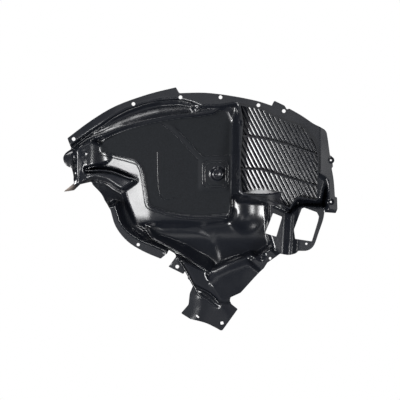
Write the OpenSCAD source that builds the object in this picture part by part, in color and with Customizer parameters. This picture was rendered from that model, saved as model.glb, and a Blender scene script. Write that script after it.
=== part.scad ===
// Wheel arch liner with a louvred cooling grille, moulded in one piece.
// X runs along the arch, Z is up and Y runs from the wheel side to the body side.
// The origin is midway between the two locating holes of the top flange, on its wheel side.

/* [Main sizes] */
// Length of the liner along the arch
arch_w = 660; // [640:5:680]
// Height of the liner
arch_h = 586; // [568:2:604]

/* [Moulding] */
// Wall thickness of the moulding
wall = 2.8; // [2.2:0.1:3.4]
// Height of the raised beads and strips above the panel
bead_h = 2.4; // [1.6:0.1:3.2]
// Width of one bead
bead_w = 5; // [4:0.5:6.5]

/* [Depths behind the top flange] */
// Depth of the grained panel at its upper edge
panel_y = 20; // [12:1:28]
// Depth of the trough below the flange beside it
trough_d = 24; // [18:1:30]
// Depth of the lower left flange
low_flange_y = 28; // [20:1:36]
// Depth of the channel beside the ledge
channel_y = 88; // [75:1:100]
// Drop of the basin behind the plane of the panel
basin_drop = 8; // [4:1:12]
// Radius on which the basin curves back towards the wheel
basin_r = 100; // [90:5:130]
// Step down from the basin to the recess below the arch line
arch_step = 9; // [6:1:12]
// Depth of the bowl below the grille, behind its own edge
bowl_d = 14; // [10:1:18]
// Depth of the frame round the two windows, at its right
window_y = 18; // [12:1:24]
// Depth of the foot bracket at its upper end
foot_y = 18; // [14:1:24]
// Depth of the bulge beside the foot
bulge_y = 18; // [14:1:24]

/* [Grille] */
// Distance from the first slat to the second, across the slats
first_pitch = 9.8; // [9.2:0.1:10.4]
// Distance from the last slat but one to the last
last_pitch = 7.7; // [7.2:0.1:8.2]
// Width of a slat blade
slat_w = 10.6; // [9.6:0.1:11.4]
// Thickness of a slat blade
slat_t = 1.6; // [1.3:0.1:2]
// Lean of the slats from upright
slat_lean = 27; // [22:1:32]
// Twist of each blade out of the grille's plane
slat_twist = 25; // [20:1:32]
// Depth of the slats behind the flange
slat_y = 15; // [13:1:17]
// Depth of the frame wall round the slats
frame_d = 26; // [24:1:32]
// Thickness of the frame wall
frame_t = 2.6; // [2:0.1:3.2]

/* [Fixings] */
// Radius of a clip hole in the top flange
clip_r = 4.5; // [3.5:0.1:5.2]
// Distance between the two locating holes of the top flange
locate_dx = 96; // [90:1:102]
// Radius of the hole in a flange boss
boss_hole_r = 2.5; // [2:0.1:3]
// Radius of a flange boss
boss_r = 7; // [6:0.1:8]
// Height of a flange boss
boss_h = 5; // [3:0.5:7]
// Distance between the two bosses of the right flange
boss_dz = 100; // [94:1:106]
// Radius of the hole in the small lower tab
tab_hole_r = 4.5; // [3.5:0.1:5.2]
// Width of the square hole in the foot
foot_hole_w = 7.5; // [6:0.1:9]
// Length of the slanted slot in the foot
foot_slot_l = 9; // [7:0.5:11]
// Width of the slanted slot in the foot
foot_slot_w = 4; // [3:0.1:5]

/* [Dome] */
// Radius of the dome on the panel
dome_r = 19; // [16:0.5:22]
// Height of the dome above its pad
dome_h = 9; // [6:0.5:12]
// Radius of the dome's flat top
dome_top_r = 12; // [9:0.5:14]
// Radius of the dimple in the dome's top
dimple_r = 3.5; // [2.5:0.5:5]

/* [Hidden] */
big = 400;
// How the panel leans back, along X and Z
slope_x = 0.05;
slope_z = 0.20;

// The outlines are drawn for a liner of this size, and plan() fits them to the size that is set
drawn_w = 660;
drawn_h = 586;
fit_x = arch_w / drawn_w;
fit_z = arch_h / drawn_h;
function spot(p) = [p[0] * fit_x, p[1] * fit_z];
function plan(points) = [for (p = points) spot(p)];

// Outline of the whole moulding, in runs that meet at corners. Each run is a smooth curve.
outline_runs = [
  [[-320, -98], [-265, -57], [-204, -21], [-127, 7], [-59, 24]],
  [[-51, 10], [10, 11], [71, 4], [133, -8], [171, -20]],
  [[177, -8]],
  [[202, -20]],
  [[207, -29]],
  [[213, -27], [243, -44], [271, -63], [289, -72], [301, -81], [305, -96], [311, -140]],
  [[316, -141]],
  [[318, -167]],
  [[315, -170], [320, -200], [323, -239]],
  [[328, -240]],
  [[329, -268]],
  [[325, -278]],
  [[298, -276], [295, -294], [284, -326], [273, -356], [258, -368], [236, -369]],
  [[230, -375], [212, -379], [192, -376]],
  [[184, -382], [161, -398]],
  [[153, -411], [137, -426], [97, -470]],
  [[73, -481], [71, -489], [75, -498]],
  [[90, -510]],
  [[53, -562]],
  [[48, -562], [34, -554], [10, -543], [-25, -534]],
  [[-47, -520]],
  [[-29, -499], [-26, -472]],
  [[-18, -453], [-23, -443], [-31, -436]],
  [[-30, -429]],
  [[-34, -419], [-38, -419], [-41, -425]],
  [[-77, -407]],
  [[-59, -383], [-62, -376], [-77, -367]],
  [[-80, -375]],
  [[-96, -388], [-138, -370], [-176, -346], [-204, -311], [-217, -270]],
  [[-232, -248], [-241, -231], [-262, -209]],
  [[-264, -202], [-290, -209]],
  [[-306, -223], [-331, -227]],
  [[-304, -206]],
  [[-310, -170], [-325, -162], [-331, -146], [-325, -133], [-311, -123]]
];

// Windows that go right through
window_1 = [[175, -278], [197, -287], [183, -335], [157, -327]];
window_2 = [[244, -267], [250, -265], [280, -276], [285, -286], [283, -297], [268, -346], [228, -340],
  [225, -318]];

// Inner edge of the grille opening
opening = [[96, -20], [147, -30], [171, -45], [211, -61], [246, -72], [259, -93], [269, -101], [278, -122],
  [281, -140], [280, -242], [276, -246], [236, -238], [228, -241], [220, -253], [214, -265], [156, -242],
  [116, -234], [101, -227], [97, -205], [96, -171], [98, -124], [103, -60], [100, -41]];

// Foot of the grille box, where its side walls meet the panel and the bowl
box_foot = [[84, -8], [82, -34], [76, -52], [77, -126], [75, -234], [92, -252], [156, -256], [216, -281],
  [240, -258], [300, -262], [315, -200], [304, -96], [270, -60], [170, -20]];

// Edge of the grained panel
panel_edge = [[-241, -114], [-230, -99], [-204, -87], [-173, -75], [-112, -59], [-52, -49], [-5, -45],
  [33, -38],
  [44, -30], [53, -29], [64, -35], [76, -63], [75, -245], [69, -280], [18, -285], [-16, -285], [-49, -282],
  [-82, -275], [-120, -262], [-127, -251], [-131, -225], [-137, -186], [-145, -162], [-162, -150], [-239,
  -130]];

// Flange along the top and round the grille
rim_zone = [[-345, -118], [-311, -121], [-265, -88], [-234, -68], [-204, -48], [-173, -32], [-135, -18],
  [-97, -10], [-51, -8], [-21, -16], [1, -26], [40, -26], [60, -24], [84, -20], [90, -60], [300, -200],
  [300, -275], [345, -285], [345, 0], [180, 30], [-60, 50], [-200, 20], [-345, -80]];

// Ridge band between the trough and the panel
ridge_zone = [[-290, -104], [-265, -94], [-227, -80], [-189, -66], [-143, -54], [-97, -44], [-51, -37],
  [-18, -34], [4, -26], [50, -20], [80, -20], [76, -30], [53, -30], [33, -40], [-5, -45], [-52, -48],
  [-112, -57], [-173, -71], [-204, -82], [-230, -92], [-270, -106]];

// Trough below the flange: its upper crease, its lower line, and the rounded nose that ends it
crease_line = [[-311, -123], [-265, -88], [-234, -68], [-204, -48], [-173, -32], [-135, -18], [-97, -10],
  [-51, -8], [-21, -16], [2, -26]];
trough_low_line = [[-290, -114], [-265, -97], [-227, -84], [-189, -70], [-143, -58], [-97, -48], [-51, -41],
  [-18, -38], [2, -26]];
trough_zone = concat(crease_line, [for (i = [len(trough_low_line) - 2:-1:0]) trough_low_line[i]]);
nose_zone = [[-345, -140], [-311, -123], [-303, -124], [-304, -180], [-330, -180], [-345, -160]];
nose_at = [-311, -150];
nose_r = 26;

// Lip at the left end
left_zone = [[-306, -122], [-290, -106], [-265, -98], [-241, -112], [-236, -132], [-225, -150], [-190,
  -165],
  [-250, -166], [-275, -172], [-262, -200], [-345, -240], [-345, -215], [-303, -190], [-302, -150]];

// Dark slot above the fin
slot_zone = [[-275, -176], [-262, -166], [-240, -164], [-213, -167], [-181, -178], [-150, -196], [-181,
  -190],
  [-211, -180], [-245, -177]];

// Pointed fin that stands proud of the ledge
fin_zone = [[-277, -178], [-245, -176], [-211, -179], [-181, -189], [-150, -198], [-160, -207], [-189,
  -227],
  [-205, -219], [-228, -203], [-250, -198], [-272, -200]];

// Channel outside the ledge
channel_zone = [[-268, -200], [-250, -198], [-228, -203], [-205, -219], [-189, -228], [-180, -252],
  [-167, -278],
  [-155, -304], [-136, -318], [-116, -341], [-83, -359], [-70, -366], [-80, -374], [-112, -359], [-140,
  -348],
  [-158, -337], [-176, -324], [-192, -305], [-199, -286], [-206, -262], [-232, -225], [-262, -212]];

// Basin below the panel
basin_zone = [[-152, -305], [-118, -298], [-60, -298], [0, -300], [60, -292], [80, -290], [120, -296],
  [150, -300], [156, -320], [150, -348], [128, -364], [105, -376], [60, -392], [26, -410], [-5, -402],
  [-21, -393], [-49, -373], [-82, -355], [-115, -338]];

// Recess in the basin, below the arch line
recess_zone = [[-140, -306], [-103, -304], [-80, -307], [-40, -308], [0, -315], [24, -327], [36, -345],
  [30, -385], [-5, -400], [-49, -372], [-82, -354], [-115, -336]];

// Flange along the lower left edge
low_flange_zone = [[-222, -258], [-206, -258], [-199, -284], [-192, -303], [-176, -322], [-158, -335],
  [-140, -346], [-112, -357], [-80, -371], [-70, -400], [-120, -410], [-200, -360], [-240, -290]];

// Frame of the two windows, and the post between them
window_zone = [[157, -246], [216, -272], [240, -252], [300, -255], [345, -285], [300, -400], [190, -400],
  [168, -360], [159, -330]];
post_line = [[222, -262], [214, -400]];

// Bulge beside the foot, and the line where its upper edge rolls back
bulge_zone = [[26, -411], [60, -394], [105, -378], [124, -370], [165, -410], [97, -490], [60, -510], [40,
  -485],
  [22, -450], [14, -425]];
bulge_edge = [[14, -425], [26, -411], [60, -394], [105, -378], [124, -370]];
bulge_roll = 22;

// Ear, with its pocket
ear_zone = [[154, -362], [170, -352], [200, -384], [150, -430], [120, -404], [108, -388], [140, -372]];
pocket_zone = [[152, -364], [130, -388], [150, -396], [160, -380]];

// Foot bracket and the tab beside it, the web that stiffens it, and the lip along the basin
foot_zone = [[-90, -362], [-49, -378], [-21, -398], [-5, -407], [14, -419], [22, -450], [46, -488], [62,
  -492],
  [80, -485], [110, -510], [60, -600], [-90, -600], [-100, -400]];
web_zone = [[-57, -384], [-21, -399], [14, -418], [18, -430], [24, -451], [46, -487], [44, -496], [22,
  -472],
  [-9, -456], [-18, -451], [-35, -419]];
fold_zone = [[1, -484], [10, -494], [9, -520], [-12, -540], [-20, -536], [-5, -515], [-1, -500]];
heel_zone = [[46, -505], [60, -490], [80, -485], [110, -510], [60, -580], [40, -560], [60, -530]];
lip_line = [[-153, -308], [-134, -317], [-115, -340], [-82, -358], [-49, -376], [-21, -396], [-5, -405],
  [16, -418]];

function ramp(t) = let (u = min(1, max(0, t))) u * u * (3 - 2 * u);
function blend(a, b, t) = a + (b - a) * t;
function seg2(p, a, b) =
  let (d = b - a, t = min(1, max(0, ((p - a) * d) / (d * d))), q = p - a - t * d) q * q;
function crosses(p, a, b) =
  (a[1] > p[1]) != (b[1] > p[1]) && p[0] < (b[0] - a[0]) * (p[1] - a[1]) / (b[1] - a[1]) + a[0];
function inside(p, zone) =
  let (n = len(zone)) len([for (i = [0:n - 1]) if (crosses(p, zone[i], zone[(i + 1) % n])) 1]) % 2 == 1;
// Distance from the edge of a zone, negative inside it
function edge_dist(p, zone) =
  let (n = len(zone), d = sqrt(min([for (i = [0:n - 1]) seg2(p, zone[i], zone[(i + 1) % n])])))
  inside(p, zone) ? -d : d;
// Share of a zone's depth that a point takes, over a slope of width w inside its edge
function share(p, zone, w) = ramp(-edge_dist(p, zone) / w);

// Smooth curve through the points of one run, and the closed outline of all runs
function spline(a, b, c, d, t) =
  0.5 * (2 * b + (c - a) * t + (2 * a - 5 * b + 4 * c - d) * t * t + (3 * b - a - 3 * c + d) * t * t * t);
function smooth_run(r, n) =
  let (m = len(r)) m < 3 ? r :
  [for (i = [0:m - 2]) for (k = [0:n - 1]) spline(r[max(0, i - 1)], r[i], r[i + 1], r[min(m - 1, i + 2)],
  k / n),
    r[m - 1]];
outline = plan([for (r = outline_runs) each smooth_run(r, 3)]);

// Depth of each form of the moulding
panel_ref = [-80, -54];
ledge_step = 5;
function panel_depth(x, z) = panel_y + slope_z * (panel_ref[1] - z) + slope_x * (x - panel_ref[0]);
// The top flange falls back at its left end
rim_from = -200;
rim_run = 120;
rim_fall = 12;
function rim_depth(x) = rim_fall * ramp((rim_from - x) / rim_run);
// The right flange leans back from this line on
lean_from = 288;
flange_lean = 0.14;
function rim_y(x) = rim_depth(x) + flange_lean * max(0, x - lean_from);
function cap(q) = q < 1 ? sqrt(1 - q * q) : 0;
function line_dist(p, line) = sqrt(min([for (i = [0:len(line) - 2]) seg2(p, line[i], line[i + 1])]));

// The basin follows the plane of the panel and then curves back towards the wheel.
// The bowl is a half pipe in it under the grille.
basin_from = -300;
bowl_at = [117, -330];
bowl_r = 43;
bowl_end = 60;
function bowl(x, z) = bowl_d * cap(norm([(x - bowl_at[0]) / bowl_r, max(0, bowl_at[1] - z) / bowl_end]));
function basin_y(x, z) =
  let (s = max(0, basin_from - z))
  panel_depth(x, max(z, basin_from)) + basin_drop + slope_z * s - s * s / (2 * basin_r) + bowl(x, z);

// The foot bracket leans back from this height down
foot_from = -380;
foot_fall = 0.25;
function foot_plane(z) = foot_y + foot_fall * max(0, foot_from - z);

// The lip rises in a crest from the basin, higher towards the foot, with sides that fall back at a slope
lip_slope = 2.2;
function lip(p) =
  let (run = min(1, max(0, (p[0] - lip_line[0][0]) / (lip_line[7][0] - lip_line[0][0]))))
  blend(lip_start_y, foot_plane(lip_line[7][1]) - web_step, run) + lip_slope * line_dist(p, lip_line);
lip_start_y = 66;
web_step = 12;

// The bulge is a face that leans away to the lower right, with a rolled upper edge
bulge_lean = 0.15;
bulge_rise = 30;
function bulge_depth(p) =
  let (roll = max(0, 1 - line_dist(p, bulge_edge) / bulge_roll))
  bulge_y + bulge_lean * (p[0] - bulge_edge[0][0] - p[1] + bulge_edge[0][1]) + bulge_rise * roll * roll;

function basin_depth(x, z) =
  let (
    p = [x, z],
    ledge = panel_depth(x, z) - ledge_step * (1 - share(p, panel_edge, 4)),
    basin = blend(ledge, basin_y(x, z), share(p, basin_zone, 26)) + arch_step * share(p, recess_zone, 9)
  )
  blend(basin, channel_y, share(p, channel_zone, 9));

// The window frame leans back to the left, with a rounded post between the windows and the ear below
window_right = 300;
window_lean = 0.22;
post_h = 14;
post_w = 20;
ear_step = 22;
pocket_d = 14;
web_lean = 0.12;
fold_h = 6;
fold_lean = 0.5;
heel_h = 8;
heel_lean = 0.2;
function bracket_depth(x, z) =
  let (
    p = [x, z],
    post = post_h * ramp(1 - line_dist(p, post_line) / post_w),
    frame = blend(basin_depth(x, z), window_y + window_lean * (window_right - x) - post, share(p,
    window_zone, 8)),
    bulge = blend(frame, bulge_depth(p), share(p, bulge_zone, 6)),
    ear = blend(bulge, window_y + ear_step, share(p, ear_zone, 16)) + pocket_d * share(p, pocket_zone, 10),
    plane = foot_plane(z),
    foot = blend(ear, plane, share(p, foot_zone, 8)),
    web = blend(foot, plane - web_step + web_lean * (x + 10), share(p, web_zone, 5)),
    fold = blend(web, plane - fold_h + fold_lean * (x + 5), share(p, fold_zone, 4)),
    heel = blend(fold, plane - heel_h + heel_lean * (90 - x), share(p, heel_zone, 6))
  )
  blend(min(heel, lip(p)), low_flange_y, share(p, low_flange_zone, 6));

// The left lip leans back and rolls over at its edge, and the fin stands in front of the slot
left_at = [-268, -150];
left_y = 8;
left_lean = 0.16;
left_fall = 0.12;
roll_d = 16;
roll_w = 40;
function left_plane(p) = left_y + left_lean * (p[0] - left_at[0]) - left_fall * (p[1] - left_at[1]);
fin_at = [-270, -175];
fin_run = 90;
function fin_y(x, z) = blend(10, 16, ramp((x - fin_at[0]) / fin_run)) + left_fall * (fin_at[1] - z);
slot_d = 50;
ridge_y = 10;
box_y = -3;
nose_back = 20;
nose_h = 16;

// The trough drops steeply below its crease and rises in a long slope to its lower line
function trough(p) =
  let (
    above = line_dist(p, crease_line),
    width = above + line_dist(p, trough_low_line),
    t = above / max(width, 0.1),
    u = (t - 0.2) / 0.8,
    drop = u < 0 ? sin(90 * t / 0.2) : 1 - 0.71 * u - 0.29 * u * u
  )
  blend(rim_y(p[0]), ridge_y, t) + min(trough_d, 0.63 * width) * drop;

function depth(x, z) =
  let (
    p = [x, z],
    lower = bracket_depth(x, z),
    roll = roll_d * pow(min(1, max(0, (left_at[0] - x) / roll_w)), 2),
    left = blend(lower, left_plane(p) + roll, share(p, left_zone, 6)),
    fin = blend(left, fin_y(x, z), share(p, fin_zone, 5)),
    slot = blend(fin, slot_d, share(p, slot_zone, 4)),
    ridge = blend(slot, ridge_y, share(p, ridge_zone, 6)),
    box = blend(ridge, box_y, share(p, box_foot, 17)),
    rim = blend(box, rim_y(x), share(p, rim_zone, 5)),
    nose = blend(rim, trough_d + nose_back - nose_h * cap(norm(p - nose_at) / nose_r), share(p,
    nose_zone, 4))
  )
  inside(p, trough_zone) ? trough(p) : nose;

// Grid of the moulding: columns along X, and rows between feature lines that follow the arch.
// Each column span is [start, end, step], closer where the moulding has more shape.
col_spans = [[-336, -126, 8.4], [-126, 66, 12], [66, 106, 8], [106, 154, 12], [154, 334, 9]];
cols = [for (s = col_spans) each [for (x = [s[0]:s[2]:s[1] - s[2] / 2]) x], 334];
col_n = len(cols) - 1;
lines = [
  [[-335, -102], [-320, -90], [-265, -50], [-204, -14], [-127, 14], [-59, 31], [-45, 20], [10, 19], [71,
  12],
    [133, 2], [177, 2], [202, -12], [213, -18], [271, -54], [301, -72], [336, -90]],
  [[-335, -136], [-311, -123], [-265, -88], [-234, -68], [-204, -48], [-173, -32], [-135, -18], [-97, -10],
    [-51, -8], [-21, -16], [1, -25], [60, -24], [94, -17], [147, -30], [171, -45], [246, -72], [281, -138],
    [336, -160]],
  [[-335, -156], [-311, -134], [-281, -108], [-265, -97], [-227, -84], [-189, -70], [-143, -58], [-97, -48],
    [-51, -41], [-18, -38], [10, -40], [60, -42], [94, -40], [171, -70], [281, -160], [336, -180]],
  [[-335, -210], [-290, -204], [-262, -200], [-225, -205], [-189, -228], [-167, -270], [-140, -292],
    [-82, -290], [-49, -296], [0, -298], [60, -288], [78, -250], [97, -248], [160, -250], [214, -270],
    [240, -262], [336, -262]],
  [[-335, -220], [-262, -207], [-232, -222], [-189, -252], [-165, -285], [-150, -305], [-103, -306],
  [-80, -310],
    [-40, -310], [0, -318], [24, -330], [60, -340], [110, -335], [150, -330], [200, -338], [336, -300]],
  [[-335, -235], [-262, -212], [-232, -240], [-206, -262], [-192, -303], [-158, -336], [-115, -352],
  [-82, -364],
    [-49, -378], [-21, -398], [16, -420], [60, -430], [100, -400], [150, -368], [200, -362], [336, -345]],
  [[-335, -245], [-262, -220], [-241, -240], [-218, -280], [-206, -325], [-180, -354], [-138, -380],
  [-96, -398],
    [-75, -450], [-50, -532], [-25, -548], [15, -562], [53, -574], [75, -545], [94, -515], [104, -484],
    [137, -440], [161, -410], [186, -392], [212, -388], [273, -378], [300, -355], [336, -310]]
];
band_rows = [3, 5, 8, 4, 7, 8];
row_t = [for (b = [0:len(band_rows) - 1]) for (k = [0:band_rows[b] - 1]) [b, k / band_rows[b]], [5, 1]];
row_n = len(row_t) - 1;
function row_z(j, x) = blend(lookup(x, lines[row_t[j][0]]), lookup(x, lines[row_t[j][0] + 1]), row_t[j][1]);
function grid_point(i, j) = let (x = cols[i], z = row_z(j, x)) [x * fit_x, depth(x, z), z * fit_z];
function slope(a, b) = let (d = b - a, run = norm([d[0], d[2]])) run > 0 ? abs(d[1]) / run : 0;
function steep(g, i, j) = max(
  slope(g[j][max(0, i - 1)], g[j][min(col_n, i + 1)]),
  slope(g[max(0, j - 1)][i], g[min(row_n, j + 1)][i]));
// The back face lies a wall thickness behind the front, and more where the wall is steep
function back(g, i, j) = g[j][i] + [0, wall * min(3, sqrt(1 + pow(steep(g, i, j), 2))), 0];
function cell_mid(g, i, j) = let (m = (g[j][i] + g[j][i + 1] + g[j + 1][i] + g[j + 1][i + 1]) / 4) [m[0],
  m[2]];
margin = 11;
grille_opening = plan(opening);
function kept_cells(g) = [for (j = [0:row_n - 1]) [for (i = [0:col_n - 1]) let (m = cell_mid(g, i, j))
  edge_dist(m, outline) < margin && edge_dist(m, grille_opening) > -margin]];
function is_kept(kept, i, j) = i >= 0 && j >= 0 && i < col_n && j < row_n && kept[j][i];
layer = (col_n + 1) * (row_n + 1);
function id(i, j, k) = k * layer + j * (col_n + 1) + i;
function quad(a, b, c, d) = [[a, c, b], [a, d, c]];
function cell_faces(kept, i, j) = concat(
  quad(id(i, j, 0), id(i, j + 1, 0), id(i + 1, j + 1, 0), id(i + 1, j, 0)),
  quad(id(i, j, 1), id(i + 1, j, 1), id(i + 1, j + 1, 1), id(i, j + 1, 1)),
  is_kept(kept, i, j - 1) ? [] : quad(id(i, j, 0), id(i + 1, j, 0), id(i + 1, j, 1), id(i, j, 1)),
  is_kept(kept, i, j + 1) ? [] : quad(id(i, j + 1, 0), id(i, j + 1, 1), id(i + 1, j + 1, 1), id(i + 1,
  j + 1, 0)),
  is_kept(kept, i - 1, j) ? [] : quad(id(i, j, 0), id(i, j, 1), id(i, j + 1, 1), id(i, j + 1, 0)),
  is_kept(kept, i + 1, j) ? [] : quad(id(i + 1, j, 0), id(i + 1, j + 1, 0), id(i + 1, j + 1, 1),
  id(i + 1, j, 1)));
module grid_sheet() {
  grid = [for (j = [0:row_n]) [for (i = [0:col_n]) grid_point(i, j)]];
  kept = kept_cells(grid);
  points = concat(
    [for (j = [0:row_n]) for (i = [0:col_n]) grid[j][i]],
    [for (j = [0:row_n]) for (i = [0:col_n]) back(grid, i, j)]);
  faces = [for (j = [0:row_n - 1]) for (i = [0:col_n - 1]) if (kept[j][i]) each cell_faces(kept, i, j)];
  polyhedron(points, faces);
}

// Extrudes an outline drawn in X and Z from depth y0 over a thickness t
module slab(y0, t) translate([0, y0 + t, 0]) rotate([90, 0, 0]) linear_extrude(t) children();
module drill(p, r) translate([p[0], big / 2, p[1]]) rotate([90, 0, 0]) cylinder(r = r, h = big, $fn = 48);

// Places an outline on the sloping panel: lay() turns X and Z into the panel's own plane
tilt_x = atan(slope_z / fit_z);
tilt_z = atan(slope_x / fit_x);
root = 1.4;
ref = spot(panel_ref);
function lay(points) = [for (p = plan(points))
  let (w = (p[1] - ref[1]) / cos(tilt_x)) [(p[0] - ref[0] - sin(tilt_z) * sin(tilt_x) * w) / cos(tilt_z),
  w]];
module on_panel(h) translate([ref[0], panel_y, ref[1]]) rotate([tilt_x, 0, tilt_z]) rotate([90, 0, 0])
  translate([0, 0, -root]) linear_extrude(h + root) children();
module at_panel(p) let (q = lay([p])[0]) translate([ref[0], panel_y, ref[1]]) rotate([tilt_x, 0, tilt_z])
  translate([q[0], 0, q[1]]) rotate([90, 0, 0]) children();

// Thin moulded sheet, cut to the outline
module sheet() intersection() {
  grid_sheet();
  slab(-big / 2, big) polygon(outline);
}

// Raised diagonal strip that widens into the pad under the dome, and the corner line beside it
strip = [[-93, -61], [-66, -61], [-49, -83], [1, -134], [10, -139], [73, -137], [73, -225], [60, -228],
  [2, -228],
  [-6, -221], [-7, -150], [-49, -101]];
pad = [[2, -147], [73, -147], [73, -222], [5, -222], [-2, -216], [-2, -153]];
corner_line = [[-104, -131], [-101, -131], [-95, -234], [-59, -239], [-59, -242], [-98, -237]];
bead_area = [[-225, -108], [-100, -150], [-90, -230], [62, -255], [62, -330], [-160, -320], [-185, -240],
  [-175, -178], [-225, -160]];
pad_h = bead_h * 1.6;
module bead(from, to) difference() {
  offset(r = to, $fn = 24) polygon(lay(panel_edge));
  offset(r = from, $fn = 24) polygon(lay(panel_edge));
}
module panel_relief() {
  on_panel(bead_h) polygon(lay(strip));
  on_panel(pad_h) polygon(lay(pad));
  on_panel(bead_h / 2) polygon(lay(corner_line));
  on_panel(ledge_step + bead_h) intersection() {
    union() {
      bead(7, 7 + bead_w / 2);
      bead(8 + bead_w, 8 + bead_w * 1.5);
    }
    polygon(lay(bead_area));
  }
}
dome_at = [41, -183];
dimple_d = 2;
dome_face = pad_h + dome_h;
module dome() at_panel(dome_at) rotate_extrude($fn = 64)
  polygon([[0, -root], [dome_r, -root], [dome_r, pad_h + 1], [dome_top_r, dome_face],
    [dimple_r, dome_face], [dimple_r, dome_face - dimple_d], [0, dome_face - dimple_d]]);
module dome_hollow() at_panel(dome_at) rotate_extrude($fn = 64)
  polygon([[0, -wall * 2], [dome_r - wall, -wall * 2], [dome_r - wall, 0],
    [dome_top_r - wall, dome_face - wall - dimple_d], [0, dome_face - wall - dimple_d]]);

// Louvre grille: a frame wall round the opening, slanted blades and two cross bars
frame_y0 = -4;
module grille_frame() slab(frame_y0, frame_d) difference() {
  offset(delta = frame_t) polygon(grille_opening);
  polygon(grille_opening);
}

// The blades are set out across the opening, from its lowest corner to its highest, and close up on the way
slat_lead = 4;
slat_spare = 30;
function across(p) = p[0] * cos(slat_lean) + p[1] * sin(slat_lean);
function along(p) = p[1] * cos(slat_lean) - p[0] * sin(slat_lean);
opening_across = [for (p = grille_opening) across(p)];
opening_along = [for (p = grille_opening) along(p)];
slat_from = min(opening_across) + slat_lead;
slat_count = ceil((max(opening_across) - slat_from) * 2 / (first_pitch + last_pitch)) + 1;
slat_len = max(opening_along) - min(opening_along) + slat_spare;
slat_mid = (max(opening_along) + min(opening_along)) / 2;
closing = (last_pitch - first_pitch) / (2 * (slat_count - 1));
function slat_at(k) = slat_from + k * first_pitch + k * k * closing;
module slats() intersection() {
  slab(frame_y0 + 1, frame_d + 8) offset(delta = frame_t / 2) polygon(grille_opening);
  translate([0, slat_y, 0]) rotate([0, -slat_lean, 0])
    for (k = [0:slat_count - 1]) translate([slat_at(k), 0, slat_mid]) rotate([0, 0, -slat_twist])
      cube([slat_w, slat_t, slat_len], center = true);
}
bar_h = 3.2;
bar_upper = [[95, -92], [156, -101], [202, -112], [233, -122], [283, -139]];
bar_lower = [[95, -172], [148, -175], [187, -186], [233, -200], [283, -214]];
bar_d = 12;
module bar(line) slab(slat_y - 2 - bar_d / 2, bar_d) polygon(concat(
  [for (p = plan(line)) [p[0], p[1] + bar_h / 2]],
  [for (i = [len(line) - 1:-1:0]) spot(line[i]) - [0, bar_h / 2]]));
scoop_edge = [[98, -223], [118, -225], [141, -218], [171, -219], [188, -226], [195, -236], [197, -262],
  [156, -244], [115, -236], [99, -229]];
scoop_y = slat_y - 7;
module scoop() slab(scoop_y, wall) polygon(plan(scoop_edge));
module grille() {
  grille_frame();
  slats();
  bar(bar_upper);
  bar(bar_lower);
  scoop();
}

// Fixing holes
flange_holes = [[-305, -100], [-161, -16], [139, -19], [200, -33]];
locate_holes = [[-locate_dx / 2, 0], [locate_dx / 2, 0]];
left_hole_r = 2.2;
low_hole_r = 4;
ear_hole_r = 3.2;
corner_hole_r = 2.8;
left_hole = spot([-301, -182]);
low_hole = spot([-150, -354]);
ear_hole = spot([168, -387]);
corner_hole = spot([255, -352]);
tab_hole = spot([-56, -407]);
foot_slot = spot([-7, -528]);
foot_slot_turn = -45;
foot_hole = spot([52, -544]);
foot_hole_turn = 10;
boss_at = [313, -201];
boss_mid = spot(boss_at);
boss_z = [for (k = [-0.5, 0.5]) boss_mid[1] + k * boss_dz];
module bosses() for (z = boss_z) translate([boss_mid[0], rim_y(boss_at[0]) + root, z]) rotate([90, 0, 0])
  cylinder(r = boss_r, h = boss_h + root, $fn = 48);
module long_hole(at, turn, w, h) translate([at[0], 0, at[1]]) rotate([0, turn, 0])
  cube([w, big, h], center = true);
module holes() {
  for (p = concat(plan(flange_holes), locate_holes)) drill(p, clip_r);
  drill(left_hole, left_hole_r);
  drill(low_hole, low_hole_r);
  drill(ear_hole, ear_hole_r);
  drill(corner_hole, corner_hole_r);
  drill(tab_hole, tab_hole_r);
  for (z = boss_z) drill([boss_mid[0], z], boss_hole_r);
  long_hole(foot_slot, foot_slot_turn, foot_slot_w, foot_slot_l);
  long_hole(foot_hole, foot_hole_turn, foot_hole_w, foot_hole_w);
  slab(-big / 2, big) polygon(plan(window_1));
  slab(-big / 2, big) polygon(plan(window_2));
}

module arch_liner() color("#1c1f25") difference() {
  union() {
    difference() {
      sheet();
      slab(-big / 2, big) offset(delta = frame_t / 2) polygon(grille_opening);
    }
    panel_relief();
    dome();
    grille();
    bosses();
  }
  dome_hollow();
  holes();
}

arch_liner();
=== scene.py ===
# %% [markdown]
# # A moulded wheel arch liner in Blender
# The liner is one black plastic moulding: a thin sheet with a trough, a grained panel, a bowl and folded
# brackets, and a louvre grille in a box. The CAD model is loaded as a fixed frame. Everything below is
# dressed onto it, in metres, with X along the arch, Z up and Y from the wheel side to the body side.

# %% Load the frame
import math
import bmesh
import bpy
import numpy as np
from mathutils import Matrix, Vector


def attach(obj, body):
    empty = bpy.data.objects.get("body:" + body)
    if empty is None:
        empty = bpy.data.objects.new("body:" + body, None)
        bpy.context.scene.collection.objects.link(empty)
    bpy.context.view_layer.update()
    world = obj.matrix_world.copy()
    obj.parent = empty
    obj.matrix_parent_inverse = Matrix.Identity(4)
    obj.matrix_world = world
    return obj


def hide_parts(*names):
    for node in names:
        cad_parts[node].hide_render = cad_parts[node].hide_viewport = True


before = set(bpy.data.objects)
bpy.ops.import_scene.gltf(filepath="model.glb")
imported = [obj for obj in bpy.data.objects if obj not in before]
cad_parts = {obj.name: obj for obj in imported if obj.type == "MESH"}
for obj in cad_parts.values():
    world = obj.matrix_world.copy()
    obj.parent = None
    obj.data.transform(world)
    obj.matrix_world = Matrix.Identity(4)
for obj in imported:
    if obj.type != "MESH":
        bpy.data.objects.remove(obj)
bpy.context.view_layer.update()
MM = 0.001

# %% [markdown]
# ## Small helpers
# A material or a geometry tree is a set of nodes, so one function adds a node with its settings and links.
# Colours are written as sRGB hex and turned to linear, as the renderer works in linear light.

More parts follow.
